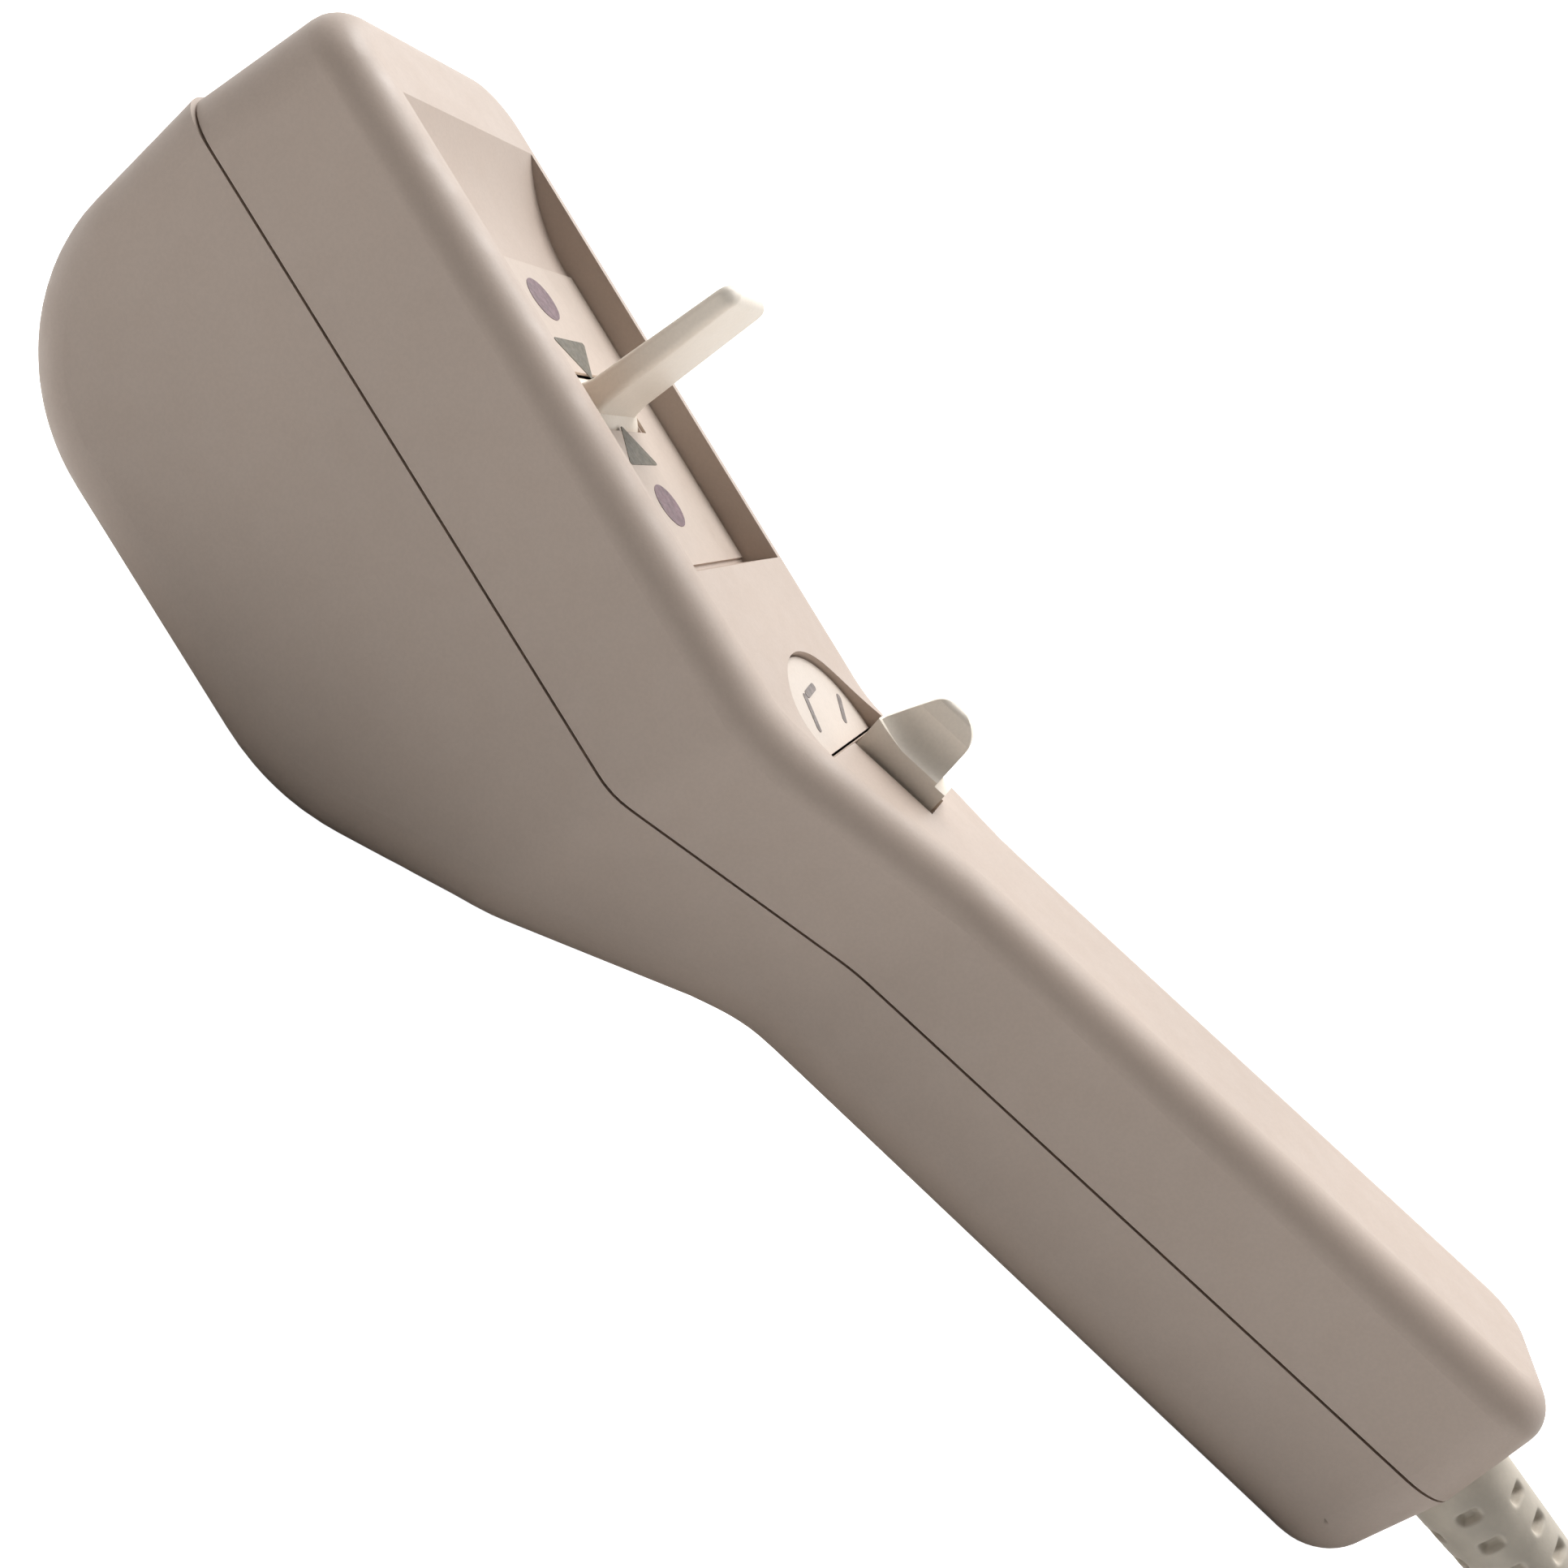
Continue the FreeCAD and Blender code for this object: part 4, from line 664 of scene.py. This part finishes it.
class HANDCONTROL_OT_finishes(bpy.types.Operator):
    """Give every carried-over CAD piece its finish"""
    bl_idname = "handcontrol.finishes"
    bl_label = "Finish CAD pieces"

    def execute(self, context):
        colours = context.scene.hand_control_colours
        made = {
            "housing_plastic": moulded_plastic("housing_plastic", linear(colours.shell), 0.52),
            "control_plastic": moulded_plastic("control_plastic", linear(colours.control), 0.42,
                                               depth=0.000007),
            "label_plastic": moulded_plastic("label_plastic", linear(colours.label), 0.48, grain=0.0005,
                                             depth=0.000005),
            "dial_plastic": moulded_plastic("dial_plastic", linear(colours.dial), 0.45, depth=0.000005),
            "nylon": moulded_plastic("nylon", (0.78, 0.76, 0.68), 0.38, depth=0.000006),
            "bright_steel": metal("bright_steel", (0.62, 0.62, 0.63), 0.26, (1, 12, 1)),
            "zinc_plate": metal("zinc_plate", (0.55, 0.57, 0.6), 0.38, (8, 1, 8), grain=0.001),
            "spring_wire": metal("spring_wire", (0.42, 0.42, 0.44), 0.3),
            "sensor_blue": moulded_plastic("sensor_blue", (0.02, 0.07, 0.2), 0.35),
            "tinned": metal("tinned", (0.72, 0.72, 0.7), 0.35),
            "switch_black": moulded_plastic("switch_black", (0.025, 0.025, 0.028), 0.4),
            "laminate": circuit_laminate("laminate", (0.012, 0.09, 0.035)),
            "header_white": moulded_plastic("header_white", (0.75, 0.73, 0.66), 0.45),
            "component_black": moulded_plastic("component_black", (0.02, 0.02, 0.022), 0.5),
            "inner_jacket": cord_jacket("inner_jacket", linear(colours.jacket)),
            "lead_red": moulded_plastic("lead_red", (0.45, 0.03, 0.02), 0.42, depth=0.000004),
            "plug_nickel": metal("plug_nickel", (0.68, 0.66, 0.61), 0.24, (10, 1, 10), grain=0.0005),
            "insert_black": moulded_plastic("insert_black", (0.03, 0.03, 0.032), 0.5),
        }
        for finish, names in FINISHES.items():
            for name in names:
                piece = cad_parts[name]
                if not piece.material_slots:
                    raise RuntimeError(f"{name} has no material slot")
                for place in piece.material_slots:
                    place.material = made[finish]
        return {"FINISHED"}


class HANDCONTROL_OT_stage(bpy.types.Operator):
    """Set the floor, the studio light and the camera"""
    bl_idname = "handcontrol.stage"
    bl_label = "Set stage"

    def execute(self, context):
        scene = context.scene
        scene.view_settings.view_transform = "Standard"
        corners = np.array([(-4, -4, 0), (4, -4, 0), (4, 4, 0), (-4, 4, 0)], float)
        mesh = bpy.data.meshes.new("floor")
        mesh.from_pydata(corners, [], [(0, 1, 2, 3)])
        floor = bpy.data.objects.new("floor", mesh)
        scene.collection.objects.link(floor)
        finish = Finish("floor_paper")
        finish.colour(finish.ramp(finish.noise(0.3, 3.0), (0.86, 0.86, 0.855), (0.89, 0.89, 0.885)))
        finish.rough(finish.ramp(finish.noise(0.05, 3.0), 0.6, 0.7))
        finish.bump((finish.noise(0.0015, 2.0), 0.00001))
        # Plain white to the camera, and only a lit floor to everything else.
        seen = finish.add("LightPath").outputs["Is Camera Ray"]
        finish.tree.links.new(seen, finish.shader.inputs["Emission Strength"])
        finish.shader.inputs["Emission Color"].default_value = (1.0, 1.0, 1.0, 1)
        mesh.materials.append(finish.material)

        world = bpy.data.worlds.new("studio")
        world.use_nodes = True
        scene.world = world
        nodes, links = world.node_tree.nodes, world.node_tree.links
        way = nodes.new("ShaderNodeTexCoord")
        split = nodes.new("ShaderNodeSeparateXYZ")
        share = nodes.new("ShaderNodeMapRange")
        share.inputs["From Min"].default_value, share.inputs["From Max"].default_value = -0.3, 0.45
        share.inputs["To Min"].default_value, share.inputs["To Max"].default_value = 0.07, 1.39
        links.new(way.outputs["Generated"], split.inputs[0])
        links.new(split.outputs["Y"], share.inputs["Value"])
        # The light comes from behind the object and fades towards the camera; the backdrop looks plain.
        plain = nodes.new("ShaderNodeMath")
        plain.operation = "MAXIMUM"
        links.new(share.outputs[0], plain.inputs[0])
        links.new(nodes.new("ShaderNodeLightPath").outputs["Is Camera Ray"], plain.inputs[1])
        links.new(plain.outputs[0], nodes["Background"].inputs["Strength"])
        nodes["Background"].inputs["Color"].default_value = (1.0, 0.995, 0.985, 1)

        lamp = bpy.data.lights.new("key", "SUN")
        lamp.energy, lamp.angle = 2.78, 0.7
        light = bpy.data.objects.new("key", lamp)
        light.matrix_world = aimed((-0.12, 0.42, 0.95), (0.0, 0.0, 0.03))
        scene.collection.objects.link(light)

        lens = bpy.data.cameras.new("camera")
        lens.lens, lens.sensor_width, lens.clip_start, lens.clip_end = 34.57, 36.0, 0.01, 50.0
        camera = bpy.data.objects.new("camera", lens)
        axes = (0.7956, 0.2660, 0.5443), (0.5967, -0.1895, -0.7797), (-0.1042, 0.9452, -0.3096)
        right, down, ahead = (Vector(axis).normalized() for axis in axes)
        turn = Matrix((right, -down, -ahead)).transposed().to_4x4()
        camera.matrix_world = Matrix.Translation((0.01669, -0.183, 0.09622)) @ turn
        scene.collection.objects.link(camera)
        scene.camera = camera
        return {"FINISHED"}


def aimed(place, target):
    """The placing of a light at a point that shines at a target."""
    place = Vector(place)
    turn = (Vector(target) - place).to_track_quat("-Z", "Y")
    return Matrix.Translation(place) @ turn.to_matrix().to_4x4()


class HANDCONTROL_PT_panel(bpy.types.Panel):
    """Sizes, colours and making steps of the hand control"""
    bl_idname = "HANDCONTROL_PT_panel"
    bl_label = "Hand Control"
    bl_space_type = "VIEW_3D"
    bl_region_type = "UI"
    bl_category = "Hand Control"

    def draw(self, context):
        layout = self.layout
        for group in (context.scene.hand_control_sizes, context.scene.hand_control_colours):
            column = layout.column(align=True)
            for name in group.__annotations__:
                column.prop(group, name)
        column = layout.column(align=True)
        for step in STEPS:
            column.operator(step.bl_idname)


STEPS = [HANDCONTROL_OT_stage, HANDCONTROL_OT_reliefs, HANDCONTROL_OT_plug, HANDCONTROL_OT_ties,
         HANDCONTROL_OT_cord, HANDCONTROL_OT_paddle, HANDCONTROL_OT_label_marks,
         HANDCONTROL_OT_dial_sign, HANDCONTROL_OT_finishes]
CLASSES = [HandControlSizes, HandControlColours, *STEPS, HANDCONTROL_PT_panel]


def register():
    """Add the classes and the two groups of settings."""
    for kind in CLASSES:
        bpy.utils.register_class(kind)
    bpy.types.Scene.hand_control_sizes = bpy.props.PointerProperty(type=HandControlSizes)
    bpy.types.Scene.hand_control_colours = bpy.props.PointerProperty(type=HandControlColours)


def unregister():
    """Take away what register added."""
    del bpy.types.Scene.hand_control_colours
    del bpy.types.Scene.hand_control_sizes
    for kind in reversed(CLASSES):
        bpy.utils.unregister_class(kind)


def main():
    register()
    bpy.ops.handcontrol.stage()
    bpy.ops.handcontrol.reliefs()
    bpy.ops.handcontrol.plug()
    bpy.ops.handcontrol.ties()
    bpy.ops.handcontrol.cord()
    bpy.ops.handcontrol.paddle()
    bpy.ops.handcontrol.label_marks()
    bpy.ops.handcontrol.dial_sign()
    bpy.ops.handcontrol.finishes()
    bpy.context.view_layer.update()


if __name__ == "__main__":
    main()
